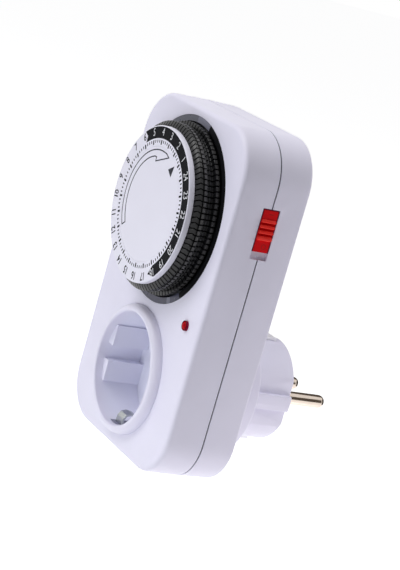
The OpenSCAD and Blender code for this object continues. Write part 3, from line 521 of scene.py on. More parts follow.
def turned(profile: Sequence[Point], centre: Point, steps: int) -> Mesh:
    """Turns a closed profile round an axis along Y.

    Args:
        profile: Points of (radius, y).
        centre: The axis's place in X and Z.
        steps: Faces round the axis.

    Returns:
        The closed mesh.
    """
    bm = bmesh.new()
    rings = [[bm.verts.new(around(r, y, 360 * k / steps, centre)) for r, y in profile]
             for k in range(steps)]
    for k, here in enumerate(rings):
        there = rings[(k + 1) % steps]
        for i in range(len(profile)):
            j = (i + 1) % len(profile)
            corners = [here[i], here[j]]
            corners += [there[n] for n in (j, i) if profile[n][0]]
            if len(corners) > 2:
                bm.faces.new(corners)
    return as_mesh(bm, True)


def arc(centre: Point, radius: float, start: float, end: float, steps: int = 8) -> list[Point]:
    """Points on an arc, both ends included, with angles in degrees."""
    return [polar(radius, start + (end - start) * i / steps, centre) for i in range(steps + 1)]


def slab(outline: Sequence[Point], y_front: float, y_back: float) -> Mesh:
    """A flat plate from an outline in X and Z.

    Args:
        outline: Its corners.
        y_front: Y of its front face.
        y_back: Y of its back face.

    Returns:
        The closed mesh.
    """
    bm = bmesh.new()
    skin(bm, [[bm.verts.new(place(x, y, z)) for x, z in outline] for y in (y_front, y_back)])
    return as_mesh(bm, True)


def line(path: Sequence[Point], width: float, y_front: float, y_back: float, closed: bool = True) -> Mesh:
    """A bar of one width that follows a path in X and Z.

    Args:
        path: Its corners.
        width: Its width.
        y_front: Y of its front face.
        y_back: Y of its back face.
        closed: Whether the path comes back to its start.

    Returns:
        The closed mesh.
    """
    count = len(path)
    bm = bmesh.new()
    rings = []
    for i, point in enumerate(path):
        here = Vector(point)
        before = Vector(path[i - 1]) if closed or i else here
        after = Vector(path[(i + 1) % count]) if closed or i < count - 1 else here
        ahead = ((after - here).normalized() + (here - before).normalized()).normalized()
        corner = max((after - here).normalized().dot(ahead), (here - before).normalized().dot(ahead))
        side = Vector((-ahead.y, ahead.x)) * width / 2 / max(MITRE_LIMIT, corner)
        rings.append([bm.verts.new(place(here.x + s * side.x, y, here.y + s * side.y))
                      for s, y in ((1, y_front), (-1, y_front), (-1, y_back), (1, y_back))])
    skin(bm, rings + rings[:1] if closed else rings, not closed)
    return as_mesh(bm, True)


@dataclass
class Studio:
    """The camera, the lamps, the world and the floor."""

    lens: float = 117.8
    camera_place: Triple = (544.7, -361.0, 165.2)
    right: Triple = (0.4412, 0.8557, 0.2705)
    view: Triple = (-0.8424, 0.4988, -0.2038)
    floor_z: float = -150.0
    floor_size: float = 12000.0
    ambient: float = 0.15
    glossy_size: float = 250.0

    def build(self) -> None:
        """Makes everything that isn't the object."""
        self.camera()
        self.world()
        self.floor()
        self.lamp("key", (-310, -850, 900), 650, 7.2)
        self.lamp("top", (0, -60, 900), 600, 2.66)
        self.lamp("front", (60, -300, -80), 200, 0.26, (0.92, 0.97, 1.0), (-10, -56, -5))
        self.lamp("low", (170, -90, -135), 160, 0.063, aim=(38, -45, -20))
        self.lamp("under", (120, 130, -120), 90, 0.184, (1.0, 0.95, 0.98), (18, 5, 0))
        self.lamp("behind", (90, 140, 110), 90, 0.15, aim=(18, 5, 8))
        self.card("flag_right", (94, 62, 28), 74, (9, 10, 0), 0.10)
        self.card("flag_left", (-65, 62, 42), 130, (9, 10, 0), 0.10)
        self.card("flag_back", (10, 190, 5), 170, (9, 10, 0), 0.04)
        bpy.context.scene.view_settings.view_transform = "Standard"
        LOG.info("studio: camera, world, floor and lamps")

    def camera(self) -> None:
        """Makes the camera."""
        data = bpy.data.cameras.new("camera")
        data.lens = self.lens
        data.clip_start = 0.01
        camera = placed("camera", data)
        back = -Vector(self.view).normalized()
        right = Vector(self.right).normalized()
        up = back.cross(right).normalized()
        turn = Matrix((right, up, back)).transposed().to_4x4()
        camera.matrix_world = Matrix.Translation(place(*self.camera_place)) @ turn
        bpy.context.scene.camera = camera

    def world(self) -> None:
        """Makes a world that is white to the camera and in reflections, and dimmer as light."""
        world = bpy.data.worlds.new("world")
        bpy.context.scene.world = world
        world.use_nodes = True
        tree = world.node_tree
        background = tree.nodes["Background"]
        background.inputs["Color"].default_value = (1, 1, 1, 1)
        tree.links.new(self._seen(tree, self.ambient, 1.0), background.inputs["Strength"])

    @staticmethod
    def _seen(tree: NodeTree, otherwise: float, seen: float) -> NodeSocket:
        """Adds a value that depends on the kind of ray.

        Args:
            tree: The node tree that it goes into.
            otherwise: The value for rays that light the object.
            seen: The value for camera, glossy and transmission rays.

        Returns:
            The value's socket.
        """
        path = tree.nodes.new("ShaderNodeLightPath")
        total = path.outputs["Is Camera Ray"]
        for ray in ("Is Glossy Ray", "Is Transmission Ray"):
            either = tree.nodes.new("ShaderNodeMath")
            either.operation = "MAXIMUM"
            tree.links.new(total, either.inputs[0])
            tree.links.new(path.outputs[ray], either.inputs[1])
            total = either.outputs[0]
        mix = add_node(tree, "ShaderNodeMapRange", Value=total, To_Min=otherwise, To_Max=seen)
        return mix.outputs["Result"]

    @staticmethod
    def sheet(name: str, size: float, where: Matrix) -> Object:
        """Makes a flat square that isn't part of the object.

        Args:
            name: Its name.
            size: Length of its side.
            where: Its place and turn.

        Returns:
            The square.
        """
        bm = bmesh.new()
        bmesh.ops.create_grid(bm, x_segments=1, y_segments=1, size=size * MM / 2)
        bm.transform(where)
        obj = placed(name, as_mesh(bm))
        return obj

    def floor(self) -> None:
        """Makes a floor that shows white where it is lit, and keeps the object's shadow."""
        obj = self.sheet("floor", self.floor_size, Matrix.Translation(place(0, 0, self.floor_z)))
        graph = Graph("floor_white")
        graph.set(Base_Color=(0.85, 0.85, 0.87, 1), Roughness=0.9, Specular_IOR_Level=0.0,
                  Emission_Color=(1, 1, 1, 1))
        graph.link(self._seen(graph.tree, 0.0, 0.85), "Emission Strength")
        obj.data.materials.append(graph.material)

    def lamp(self, name: str, spot: Triple, size: float, power: float,
             colour: Colour = (1, 1, 1), aim: Triple = (0, -35, 33)) -> None:
        """Makes an area lamp that isn't seen itself.

        Args:
            name: Name of the lamp.
            spot: Its place.
            size: Length of its side.
            power: Its power, in watts.
            colour: Tint of its light.
            aim: What it points at.
        """
        data = bpy.data.lights.new(name, "AREA")
        data.size = size * MM
        data.energy = power
        data.color = colour
        lamp = placed(name, data)
        lamp.location = place(*spot)
        lamp.rotation_euler = (place(*aim) - lamp.location).to_track_quat("-Z", "Y").to_euler()
        lamp.visible_camera = False
        lamp.visible_glossy = size > self.glossy_size

    def card(self, name: str, spot: Triple, size: float, aim: Triple, glow: float) -> None:
        """Makes a dark card that only shows as a reflection in what is glossy.

        Args:
            name: Name of the card.
            spot: Its middle.
            size: Length of its side.
            aim: What it faces.
            glow: How bright it shows, against 1 for the white around it.
        """
        turn = (place(*aim) - place(*spot)).to_track_quat("Z", "Y").to_matrix().to_4x4()
        obj = self.sheet(name, size, Matrix.Translation(place(*spot)) @ turn)
        graph = Graph(name)
        graph.set(Base_Color=(0.01, 0.01, 0.01, 1), Roughness=0.9, Specular_IOR_Level=0.0,
                  Emission_Color=(1, 0.85, 0.7, 1), Emission_Strength=glow)
        obj.data.materials.append(graph.material)
        for ray in ("camera", "diffuse", "transmission", "volume_scatter", "shadow"):
            setattr(obj, f"visible_{ray}", False)


class Ring:
    """A geometry node tree that sets copies of a shape round an axis along Y."""

    INPUTS = {"Shape": "Object", "Count": "Int", "First": "Float", "Pitch": "Float", "Centre": "Vector",
              "Material": "Material"}

    def __init__(self, shop: Workshop) -> None:
        """Builds the tree.

        Args:
            shop: Where the copies' material comes from.
        """
        self.shop = shop
        self.group = group = bpy.data.node_groups.new("ring_of_copies", "GeometryNodeTree")
        start, end = (group.nodes.new("NodeGroup" + kind) for kind in ("Input", "Output"))
        group.interface.new_socket("Geometry", in_out="OUTPUT", socket_type="NodeSocketGeometry")
        sockets = [group.interface.new_socket(name, in_out="INPUT", socket_type="NodeSocket" + kind)
                   for name, kind in self.INPUTS.items()]
        self.keys = [socket.identifier for socket in sockets]
        shape, count, first, pitch, centre, material = (start.outputs[name] for name in self.INPUTS)
        points = add_node(group, "GeometryNodePoints", Count=count, Position=centre)
        index = add_node(group, "GeometryNodeInputIndex")
        angle = add_node(group, "ShaderNodeMath")
        angle.operation = "MULTIPLY_ADD"
        for socket, source in zip(angle.inputs, (index.outputs[0], pitch, first)):
            group.links.new(source, socket)
        turn = add_node(group, "ShaderNodeCombineXYZ", Y=angle.outputs[0])
        info = add_node(group, "GeometryNodeObjectInfo", Object=shape)
        copies = add_node(group, "GeometryNodeInstanceOnPoints", Points=points.outputs[0],
                          Instance=info.outputs["Geometry"], Rotation=turn.outputs[0])
        real = add_node(group, "GeometryNodeRealizeInstances", Geometry=copies.outputs[0])
        finished = add_node(group, "GeometryNodeSetMaterial", Geometry=real.outputs[0], Material=material)
        group.links.new(finished.outputs[0], end.inputs[0])

    def copies(self, shape: Mesh, count: int, first: float, pitch: float, centre: Point,
               finish: Finish) -> Mesh:
        """Runs the tree on an empty mesh.

        Args:
            shape: The shape, drawn on +X from an axis through the origin.
            count: How many copies.
            first: Angle of the first copy, from +X towards +Z.
            pitch: Angle from one copy to the next.
            centre: The axis's place in X and Z.
            finish: The copies' finish.

        Returns:
            The mesh of all the copies, in place.
        """
        pattern = placed("pattern", shape)
        holder = placed("holder", bpy.data.meshes.new("holder"))
        modifier = holder.modifiers.new("nodes", "NODES")
        modifier.node_group = self.group
        values = (pattern, count, -radians(first), -radians(pitch), place(centre[0], 0, centre[1]),
                  self.shop.material(finish))
        for key, value in zip(self.keys, values):
            modifier[key] = value
        mesh = evaluated(holder)
        bpy.data.objects.remove(pattern)
        return mesh


@dataclass
class Housing:
    """The two shells of the case and the screws that hold them together."""

    shop: Workshop
    edge: float = 0.25
    half_w: float = 38.3
    z: Point = (-27.8, 94.2)
    corner: float = 16.5
    seam_y: float = -42.8
    groove: Point = (0.28, 0.72)
    slot_z: Point = (54.0, 71.3)
    slot_gap: float = 0.3
    strip_half: float = 0.24

    def build(self) -> None:
        """Makes the shells, a dark strip in the groove between them as a painted shadow, and the screws."""
        inset = sum(self.groove) / 2
        x, r = self.half_w - inset, self.corner - inset
        low, high = self.z[0] + inset + r, self.z[1] - inset - r
        path = [(x, self.slot_z[1] + self.slot_gap)]
        corners = ((x - r, high), (r - x, high), (r - x, low), (x - r, low))
        for centre, start in zip(corners, (0, 90, 180, 270)):
            path += arc(centre, r, start, start + 90, 16)
        path.append((x, self.slot_z[0] - self.slot_gap))
        front, back = self.seam_y - self.strip_half, self.seam_y + self.strip_half
        # A dark strip in the groove, painted as the seam's shadow.
        mesh = line(path, self.groove[1] - self.groove[0], front, back, False)
        self.shop.piece("case_seam", mesh, SEAM_SHADOW, Slot.BODY)
        self.shop.refined("front_shell", "case_front", WHITE, Slot.BODY, self.edge)
        self.shop.refined("rear_shell", "case_rear", WHITE, Slot.BODY, self.edge)
        self.shop.refined("housing_screws", "case_screws", ZINC, Slot.SCREWS, 0.1)


@dataclass
class Socket:
    """The round socket in the front: its ring and cup, earth clips and contacts."""

    shop: Workshop

    def build(self) -> None:
        """Makes the socket."""
        # The ring and the bottom carry the painted shade deep in the well.
        self.shop.refined("socket_cup", "socket_ring", SOCKET_WHITE_PAINTED_SHADE, Slot.BODY, 0.25)
        self.shop.refined("socket_floor", "socket_bottom", SOCKET_WHITE_PAINTED_SHADE, Slot.BODY, 0.35)
        self.shop.refined("socket_earth_clip", "socket_earth_spring", SPRING, Slot.EARTH, 0.1)
        for side in ("live", "neutral"):
            self.shop.refined(f"{side}_contact", f"{side}_sleeve", BRASS, Slot.BRASS, 0.1)


@dataclass
class Plug:
    """The plug behind the case: its body, pins and earth strips."""

    shop: Workshop

    def build(self) -> None:
        """Makes the plug."""
        self.shop.refined("plug_body", "plug_moulding", WHITE, Slot.BODY, 0.3)
        self.shop.refined("plug_earth_bracket", "plug_earth_strips", EARTH, Slot.EARTH, 0.15)
        for side in ("live", "neutral"):
            self.shop.refined(f"{side}_pin", f"{side}_plug_pin", NICKEL, Slot.PINS, 0)


@dataclass
class Dial:
    """The dial: its drum and tappets, the printed hour ring and the fixed disc in the middle."""

    shop: Workshop
    ring: Ring
    axis: Point = (0.0, 58.3)
    face_y: float = -66.6
    ink: float = 0.025
    hours: int = 24
    first_hour_angle: float = 37.6
    digit_r: float = 24.6
    digit_h: float = 2.7
    digit_narrow: float = 0.82
    digit_space: float = 0.95
    font_scale: float = 1.4
    digit_weights: Point = (-0.02, 0.06)
    white_lift: float = 2.2
    band_r: Point = (22.45, 26.5)
    band_angles: Point = (-51.0, 126.0)
    band_point: float = 8.5
    band_notch: float = 3.0
    tick_r: float = 21.9
    disc_r: float = 19.7
    boss_r: float = 4.0
    bore_r: float = 2.52
    disc_thickness: float = 1.2
    boss_length: float = 1.0
    bore_depth: float = 0.95
    rim_r: Point = (30.4, 32.55)
    rim_y: Point = (-56.39, -56.2)
    # The recess's edge arcs, as name, finish, first angle and last angle: black is painted shadow, the
    # paler arcs painted highlights, the darker ones painted shade, and slate the recess's own colour.
    rim_parts: tuple[tuple[str, Moulding, float, float], ...] = (
        ("black", SHADE, -53, 75), ("upper", PAINTED_HIGHLIGHT_SLATE, 75, 92), ("slate", SLATE, 92, 215),
        ("lower", PAINTED_SHADE_SLATE, 215, 292), ("streak", PAINTED_HIGHLIGHT_SLATE, 292, 296), ("right", PAINTED_SHADE_SLATE, 296, 307),
    )
    tick_rows: tuple[tuple[str, float, float, float], ...] = (
        ("hour_ticks", 1.6, 0.7, 0), ("quarter_ticks", 1, 0.45, 3.75),
        ("half_ticks", 1, 0.45, 7.5), ("late_quarter_ticks", 1, 0.45, 11.25),
    )
    pointer_corners: tuple[Point, ...] = ((10.4, 16.0), (6.8, 14.0), (9.7, 12.0))
    tappet_count: int = 96
    tappet_groups: int = 12
    tappet_fill: float = 0.78
    tappet_edge: float = 0.07
    tile_fill: float = 0.7
    tappet_y: float = 2.15
    tappet_inner_r: float = 25.3
    tappet_rows: tuple[Triple, ...] = (
        (27.4, 0, 0), (29.1, 0.95, 0.8), (29.2, 1.75, 0), (28.5, 1.85, 0), (28.5, 2.25, 0),
        (29.05, 2.35, 0), (29.05, 3.45, 0), (28.3, 3.6, 0), (28.3, 4.35, 0), (28.75, 4.45, 0),
        (28.75, 4.75, 0), (28.3, 4.85, 0), (28.3, 5.9, 0), (30, 6.15, 0), (30, 7.5, 0), (29.5, 7.85, 0),
    )
    tile_rows: tuple[Triple, ...] = ((29.05, 2.45, 3.35), (30.0, 6.3, 7.35))

    def build(self) -> None:
        """Makes the dial and everything printed on it."""
        shop = self.shop
        shop.refined("dial_drum", "drum", BLACK, Slot.DIAL, 0.1, body="dial")
        shop.refined("hour_ring", "hour_ring_face", LABEL_WHITE, Slot.LABEL, 0.03, body="dial")
        shop.refined("dial_cup", "dial_recess", SLATE, Slot.RECESS, 0.03)
        for make in (self.disc, self.rim, self.band, self.digits, self.ticks, self.arrow, self.pointer,
                     self.tappets):
            make()

    def disc(self) -> None:
        """Makes the fixed disc, which all but touches the hour ring, and the boss that sits on the axle."""
        face, back = self.face_y, self.face_y + self.disc_thickness
        foot, floor = back + self.boss_length, face + self.bore_depth
        profile = [(0.0, face), (self.disc_r - 0.05, face), (self.disc_r, face + 0.05), (self.disc_r, back),
                   (self.boss_r, back), (self.boss_r, foot), (self.bore_r, foot), (self.bore_r, floor),
                   (0.0, floor)]
        self.shop.piece("centre_face", turned(profile, self.axis, 160), LABEL_WHITE, Slot.LABEL,
                        ["centre_disc"])

    def rim(self) -> None:
        """Makes the recess's edge ring with light and shade painted on it: black painted shadow where the
        dial shades it, the recess's own slate to the upper left, darker slate as painted shade below, and
        paler slate as painted highlights where these meet.
        """
        inner, outer = self.rim_r
        front, back = self.rim_y
        for side, finish, start, end in self.rim_parts:
            path = arc(self.axis, (inner + outer) / 2, start, end, max(4, round(abs(end - start) / 2.5)))
            mesh = line(path, outer - inner, front, back, False)
            self.shop.piece("recess_edge_" + side, mesh, finish, Slot.RECESS)

    def printed(self, name: str, outline: Sequence[Point], finish: Ink, body: str) -> Object:
        """Prints a filled outline on the dial's face.

        Args:
            name: Name of the piece.
            outline: The outline, drawn about the dial's axis.
            finish: The ink.
            body: The body that it moves with.

        Returns:
            The piece.
        """
        points = [(self.axis[0] + x, self.axis[1] + z) for x, z in outline]
        mesh = slab(points, self.face_y - self.ink, self.face_y + self.ink)
        return self.shop.piece(name, mesh, finish, Slot.LABEL, body=body)

    def hour_angle(self, hour: int) -> float:
        """Angle of an hour on the dial, in degrees from +X towards +Z."""
        return self.first_hour_angle + 360 / self.hours * hour

    def band(self) -> None:
        """Prints the black band behind the night hours, pointed at one end and notched at the other."""
        inner, outer = self.band_r
        start, end = self.band_angles
        middle = (inner + outer) / 2
        outline = arc((0, 0), outer, start, end, 64) + [polar(middle, end - self.band_notch)]
        outline += arc((0, 0), inner, end, start, 64) + [polar(middle, start - self.band_point)]
        self.printed("night_band", outline, BLACK_INK, "dial")

    def digits(self) -> None:
        """Prints the hours, with their tops outwards: white on the band and black beside it."""
        for hour in range(1, self.hours + 1):
            angle = (self.hour_angle(hour) + 180) % 360 - 180
            on_band = self.band_angles[0] - 3 < angle < self.band_angles[1]
            lift = self.white_lift * self.ink if on_band else self.ink
            weight = self.digit_weights[0 if on_band else 1]
            mesh = self.text_mesh(str(hour), angle, lift, weight)
            finish = WHITE_INK if on_band else BLACK_INK
            self.shop.piece(f"hour_{hour:02d}", mesh, finish, Slot.LABEL, body="dial")

    def text_mesh(self, words: str, angle: float, lift: float, weight: float) -> Mesh:
        """Makes text that stands on the dial's face at an angle, centred on the digits' circle.

        Args:
            words: The text.
            angle: Its angle round the dial.
            lift: How far its front stands before the face.
            weight: How much thicker its strokes are than the font's.

        Returns:
            The closed mesh, in place.
        """
        curve = bpy.data.curves.new("hour", "FONT")
        curve.body = words
        curve.size = self.digit_h * MM * self.font_scale
        curve.align_x = curve.align_y = "CENTER"
        curve.extrude = self.ink * MM
        curve.offset = weight * MM
        curve.space_character = self.digit_space
        mesh = evaluated(placed("hour", curve))
        x, z = polar(self.digit_r, angle, self.axis)
        upright = Matrix.Rotation(radians(90), 4, "X")
        turn = Matrix.Rotation(-radians(angle - 90), 4, "Y")
        narrow = Matrix.Diagonal((self.digit_narrow, 1, 1, 1))
        spot = Matrix.Translation(place(x, self.face_y - lift + self.ink, z))
        mesh.transform(spot @ turn @ upright @ narrow)
        return mesh

    def ticks(self) -> None:
        """Prints a tick for each quarter of an hour, longer on the hour."""
        for name, length, width, offset in self.tick_rows:
            outline = rectangle((self.tick_r - length, self.tick_r), (-width / 2, width / 2))
            shape = slab(outline, self.face_y - self.ink, self.face_y + self.ink)
            mesh = self.ring.copies(shape, self.hours, self.first_hour_angle + offset, 360 / self.hours,
                                    self.axis, BLACK_INK)
            self.shop.piece(name, mesh, BLACK_INK, Slot.LABEL, smooth=None, body="dial")

    def arrow(self) -> None:
        """Prints the outline of a curved arrow that shows which way the dial turns."""
        outer, inner, width = 18.6, 16.35, 0.42
        tail, neck, tip = 218.0, 102.0, 74.0
        edge = arc((0, 0), outer, tail, tip + 6, 48)
        edge += [polar(18.2, tip), polar(14.7, neck + 1), polar(16.0, neck)]
        edge += arc((0, 0), inner, neck + 4, tail, 40)
        path = [(self.axis[0] + x, self.axis[1] + z) for x, z in edge]
        mesh = line(path, width, self.face_y - self.ink, self.face_y + self.ink)
        self.shop.piece("turning_arrow", mesh, GREY_INK, Slot.LABEL)

    def pointer(self) -> None:
        """Prints the triangle that the time is read against."""
        self.printed("time_pointer", self.pointer_corners, GREY_INK, "housing")

    def tappets(self) -> None:
        """Makes each group of tappets as copies of one wedge, with paler flats painted on as a highlight.
        """
        per_group = self.tappet_count // self.tappet_groups
        pitch = 360 / self.tappet_count
        wedge = self.wedge(pitch * self.tappet_fill)
        tiles = self.tiles(pitch * self.tile_fill)
        for group in range(self.tappet_groups):
            name = f"tappets_{group + 1:02d}"
            first = -90 - (group * per_group - (per_group - 1) / 2) * pitch
            for part, shape, finish, nodes, smooth in (("_wedges", wedge, BLACK, [name], 28),
                                                       ("_faces", tiles, PAINTED_SHEEN_BLACK, [], None)):
                mesh = self.ring.copies(shape, per_group, first, -pitch, self.axis, finish)
                self.shop.piece(name + part, mesh, finish, Slot.DIAL, nodes, smooth, name)

    def wedge(self, span: float) -> Mesh:
        """Makes one tappet about the origin's axis.

        Args:
            span: The angle that it fills.

        Returns:
            Its mesh, with its edges broken.
        """
        y, inner = self.face_y + self.tappet_y, self.tappet_inner_r
        bm = bmesh.new()
        skin(bm, [[bm.verts.new(around(r, y + dy, turn + side * span / 2))
                   for r, side in ((inner, -1), (radius, -1), (radius, 1), (inner, 1))]
                  for radius, dy, turn in self.tappet_rows])
        bmesh.ops.recalc_face_normals(bm, faces=bm.faces)
        sharp = [e for e in bm.edges if e.calc_face_angle(0) > radians(20)]
        bevelled(bm, sharp, self.tappet_edge, 1)
        return as_mesh(bm, True)

    def tiles(self, span: float) -> Mesh:
        """Makes the two flats of a tappet, its crown and its foot, painted a little paler as a painted
        highlight.

        Args:
            span: The angle that they fill.

        Returns:
            Their mesh.
        """
        y = self.face_y + self.tappet_y
        corners = ((-1, -0.03), (-1, 0.02), (1, 0.02), (1, -0.03))
        bm = bmesh.new()
        for radius, near, far in self.tile_rows:
            skin(bm, [[bm.verts.new(around(radius + lift, y + dy, side * span / 2))
                       for side, lift in corners] for dy in (near, far)])
        return as_mesh(bm, True)


@dataclass
class Slider:
    """The red slider in the side, its moulded marks and the leaf spring that holds it."""

    shop: Workshop
    body: str = "override_slider"
    side_x: float = 38.3
    seam_y: float = -42.8
    cap_back_x: float = 37.1
    cap_z: Point = (56.6, 71.05)
    cap_half: float = 2.97
    edge_half: float = 3.1
    foot_x: Point = (33.4, 34.8)
    foot_half: float = 3.7
    stem_z: Point = (61.0, 67.0)
    stem_half: float = 1.4
    arm_x: float = 17.6
    arm_z: Point = (33.0, 35.5)
    arm_half: float = 1.5
    rib_count: int = 4
    rib_z: float = 60.5
    rib_pitch: float = 1.87
    rib_half: float = 2.7
    mark_z: Point = (58.6, 69.6)
    edge: float = 0.3
    rib_edge: float = 0.15

    def build(self) -> None:
        """Makes the slider, its marks and its spring."""
        bm = bmesh.new()
        face = self.side_x + 0.05
        for x, half, z in (((self.cap_back_x, face), self.cap_half, self.cap_z),
                           ((self.foot_x[0], self.cap_back_x + 0.2), self.stem_half, self.stem_z),
                           (self.foot_x, self.foot_half, (self.cap_z[0] - 2, self.cap_z[1])),
                           (self.foot_x, self.arm_half, (self.arm_z[0], self.cap_z[0])),
                           ((self.arm_x, self.foot_x[1]), self.arm_half, self.arm_z)):
            self.bar(bm, rectangle(x, z), -half, half)
        bevelled(bm, bm.edges[:], self.edge, 3)
        self.shop.piece("slider_button", as_mesh(bm, True), RED, Slot.SLIDER, [self.body], body=self.body)
        self.ribs(face)
        self.marks(face)
        self.edging()
        self.shop.refined("detent_spring", "slider_spring", SPRING, Slot.SCREWS, 0)

    def bar(self, bm: BMesh, profile: Sequence[Point], front: float, back: float) -> list[BMFace]:
        """Adds a bar that runs along Y, from a profile of (x, z) points, to a mesh.

        Args:
            bm: The mesh.
            profile: The corners.
            front: Where it starts, from the seam.
            back: Where it ends, from the seam.

        Returns:
            Its faces.
        """
        return skin(bm, [[bm.verts.new(place(x, self.seam_y + y, z)) for x, z in profile]
                         for y in (front, back)])

    def ribs(self, face: float) -> None:
        """Makes the grip ribs, painted a lighter red as a painted highlight on their lit slopes, and dark
        strips in the valleys between them as painted shade.

        Args:
            face: X of the cap's face.
        """
        bm, shaded_valleys = bmesh.new(), bmesh.new()
        for i in range(self.rib_count):
            z = self.rib_z + i * self.rib_pitch
            low = z + (0.55 if i else 0.15)
            profile = [(face - 0.3, low), (face + 0.1, low), (face + 0.66, low + 0.3),
                       (face + 0.84, z + 0.98), (face + 0.78, z + 1.2), (face + 0.4, z + 1.5),
                       (face, z + 1.66), (face - 0.3, z + 1.66)]
            faces = self.bar(bm, profile, -self.rib_half, self.rib_half)
            edges = list({e for f in faces[:2] for e in f.edges})
            bevelled(bm, edges, self.rib_edge, 2)
            if i:
                floor = rectangle((face - 0.02, face + 0.012), (z - 0.25, low + 0.05))
                self.bar(shaded_valleys, floor, -self.rib_half, self.rib_half)
        # Ribs in a painted highlight red, valleys in a painted shade red.
        for name, part, finish in (("slider_ribs", bm, PAINTED_HIGHLIGHT_RED), ("slider_valleys", shaded_valleys, PAINTED_SHADE_RED)):
            self.shop.piece(name, as_mesh(part, True), finish, Slot.SLIDER, body=self.body)

    def edging(self) -> None:
        """Makes a painted shadow in the gap round the cap: dark strips along its two flanks and its top."""
        near, far = self.cap_half - 0.03, self.edge_half
        low, high = self.cap_z
        x = (self.cap_back_x, self.side_x - 0.1)
        bm = bmesh.new()
        for front, back, z in ((-far, -near, (low, high)), (near, far, (low, high)),
                               (-far, far, (high - 0.05, high + 0.14))):
            self.bar(bm, rectangle(x, z), front, back)
        self.shop.piece("slider_edging", as_mesh(bm, True), GAP_SHADOW, Slot.SLIDER, body=self.body)

    def marks(self, face: float) -> None:
        """Puts a plain bar at the top of the cap and a plain ring at its bottom.

        Args:
            face: X of the cap's face.
        """
        low, high = self.mark_z
        y = self.seam_y + 0.3
        bar = rectangle((y - 0.85, y + 0.85), (high - 0.16, high + 0.16))
        ring = arc((y + 0.4, low), 0.95, 0, 360, 24)[:-1]
        hole = arc((y + 0.4, low), 0.65, 0, 360, 24)[:-1]
        bm = bmesh.new()
        fronts = [[bm.verts.new(place(face + lift, py, pz)) for py, pz in path]
                  for path in (bar, ring, hole) for lift in (0.012, -0.02)]
        skin(bm, fronts[:2])
        for a, b in ((2, 4), (5, 3), (2, 3), (4, 5)):
            skin(bm, [fronts[a], fronts[b]], False)
        self.shop.piece("slider_marks", as_mesh(bm, True), DEEP_RED_INK, Slot.SLIDER, smooth=None,
                        body=self.body)


@dataclass
class Lamp:
    """The indicator lamp with its board, resistor and leads."""

    shop: Workshop
    axis: Point = (28.9, 26.0)
    face_y: float = -56.4
    back_y: float = -54.15
    board_y: float = -52.6
    radius: float = 1.7
    rim: float = 0.17
    proud: float = 1.4
    steps: int = 48

    def build(self) -> None:
        """Makes the lamp."""
        inner = self.radius - self.rim
        base = self.face_y - 0.1
        dome = [(inner * cos(radians(a)), base - (self.proud - 0.1) * sin(radians(a)))
                for a in range(90, -1, -10)]
        dome[0] = (0.0, dome[0][1])
        lens = dome + [(inner, self.board_y), (0.0, self.board_y)]
        lip = self.face_y - 0.75
        foot = self.radius + 0.6
        outer, tight = self.radius, inner - 0.05
        seat = [(tight, lip), (outer - 0.1, lip), (outer, lip + 0.1), (outer, self.back_y),
                (foot, self.back_y), (foot, self.board_y), (tight, self.board_y)]
        ring = [(inner, lip - 0.12), (outer - 0.1, lip - 0.12), (outer + 0.01, lip),
                (outer + 0.01, lip + 0.12), (inner, lip + 0.12)]
        # The dark ring at the dome's foot is a painted shadow of the gap round it.
        for name, profile, finish, nodes in (("lamp_dome", lens, LAMP_RED, ["lamp_lens"]),
                                             ("lamp_seat", seat, LAMP_SIDE, []),
                                             ("lamp_rim", ring, LAMP_RIM, [])):
            mesh = turned(profile, self.axis, self.steps)
            self.shop.piece(name, mesh, finish, Slot.LENS, nodes)
        self.shop.refined("lamp_board", "lamp_circuit_board", LAMINATE, Slot.BOARD, 0.1)
        self.shop.refined("lamp_resistor", "lamp_series_resistor", LACQUER, Slot.RESISTOR, 0.2)
        self.shop.refined("lamp_leads", "lamp_wires", RUBBER, Slot.LEADS, 0)


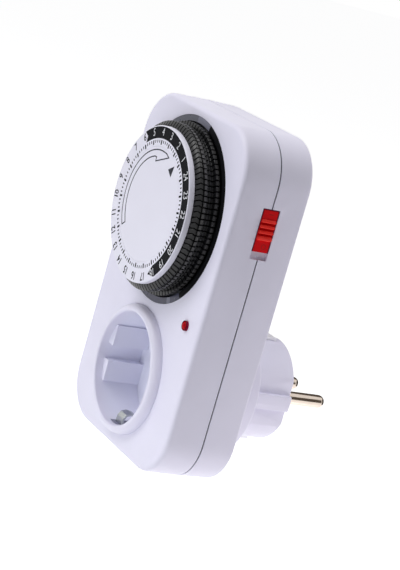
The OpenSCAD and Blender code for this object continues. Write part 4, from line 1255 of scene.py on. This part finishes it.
@dataclass
class Movement:
    """Everything that turns or switches inside the case; a part that moves names its body."""

    shop: Workshop
    edge: float = 0.06
    parts: tuple[tuple[str | Finish | Slot, ...], ...] = (
        ("movement_plate", "back_plate", SLATE, Slot.RECESS),
        ("motor_can", "motor_housing", CAN, Slot.MOTOR),
        ("motor_pinion", "motor_pinion_gear", ACETAL, Slot.GEARS, "motor_pinion"),
        ("idler_gear", "idler_wheel", ACETAL, Slot.GEARS, "idler"),
        ("dial_gear", "dial_wheel", ACETAL, Slot.GEARS, "dial"),
        ("dial_axle", "dial_shaft", ZINC, Slot.SCREWS),
        ("idler_axle", "idler_shaft", ZINC, Slot.SCREWS),
        ("axle_clip", "shaft_clip", ZINC, Slot.SCREWS),
        ("clutch_spring", "clutch_washer", SPRING, Slot.SCREWS, "dial"),
        ("clutch_clip", "clutch_ring", ZINC, Slot.SCREWS, "dial"),
        ("cup_screws", "recess_screws", ZINC, Slot.SCREWS),
        ("plate_screws", "back_plate_screws", ZINC, Slot.SCREWS),
        ("motor_screws", "motor_fixing_screws", ZINC, Slot.SCREWS),
        ("switch_body", "switch_case", BLACK, Slot.DIAL),
        ("switch_terminals", "switch_tabs", BRASS, Slot.BRASS),
        ("switch_plunger", "switch_button", RED, Slot.SLIDER, "switch_plunger"),
        ("switch_lever", "switching_lever", ZINC, Slot.SCREWS, "switch_lever"),
        ("lever_pin", "lever_pivot_pin", ZINC, Slot.SCREWS),
        ("live_busbar_in", "live_feed_bar", BRASS, Slot.BRASS),
        ("live_busbar_out", "switched_live_bar", BRASS, Slot.BRASS),
        ("neutral_busbar", "neutral_bar", BRASS, Slot.BRASS),
        ("earth_link", "earth_bar", BRASS, Slot.BRASS),
        ("motor_leads", "motor_wires", RUBBER, Slot.LEADS),
    )

    def build(self) -> None:
        """Makes every inner piece from its node."""
        for node, name, finish, slot, *body in self.parts:
            self.shop.refined(node, name, finish, slot, self.edge, 1, *body)


def main() -> None:
    """Builds the object and its studio."""
    logging.basicConfig(level=logging.INFO, format="%(name)s: %(message)s")
    shop = Workshop()
    ring = Ring(shop)
    Studio().build()
    for part in (Housing(shop), Socket(shop), Plug(shop), Dial(shop, ring), Slider(shop), Lamp(shop),
                 Movement(shop)):
        part.build()
        LOG.info("%s is done", type(part).__name__)


if __name__ == "__main__":
    main()
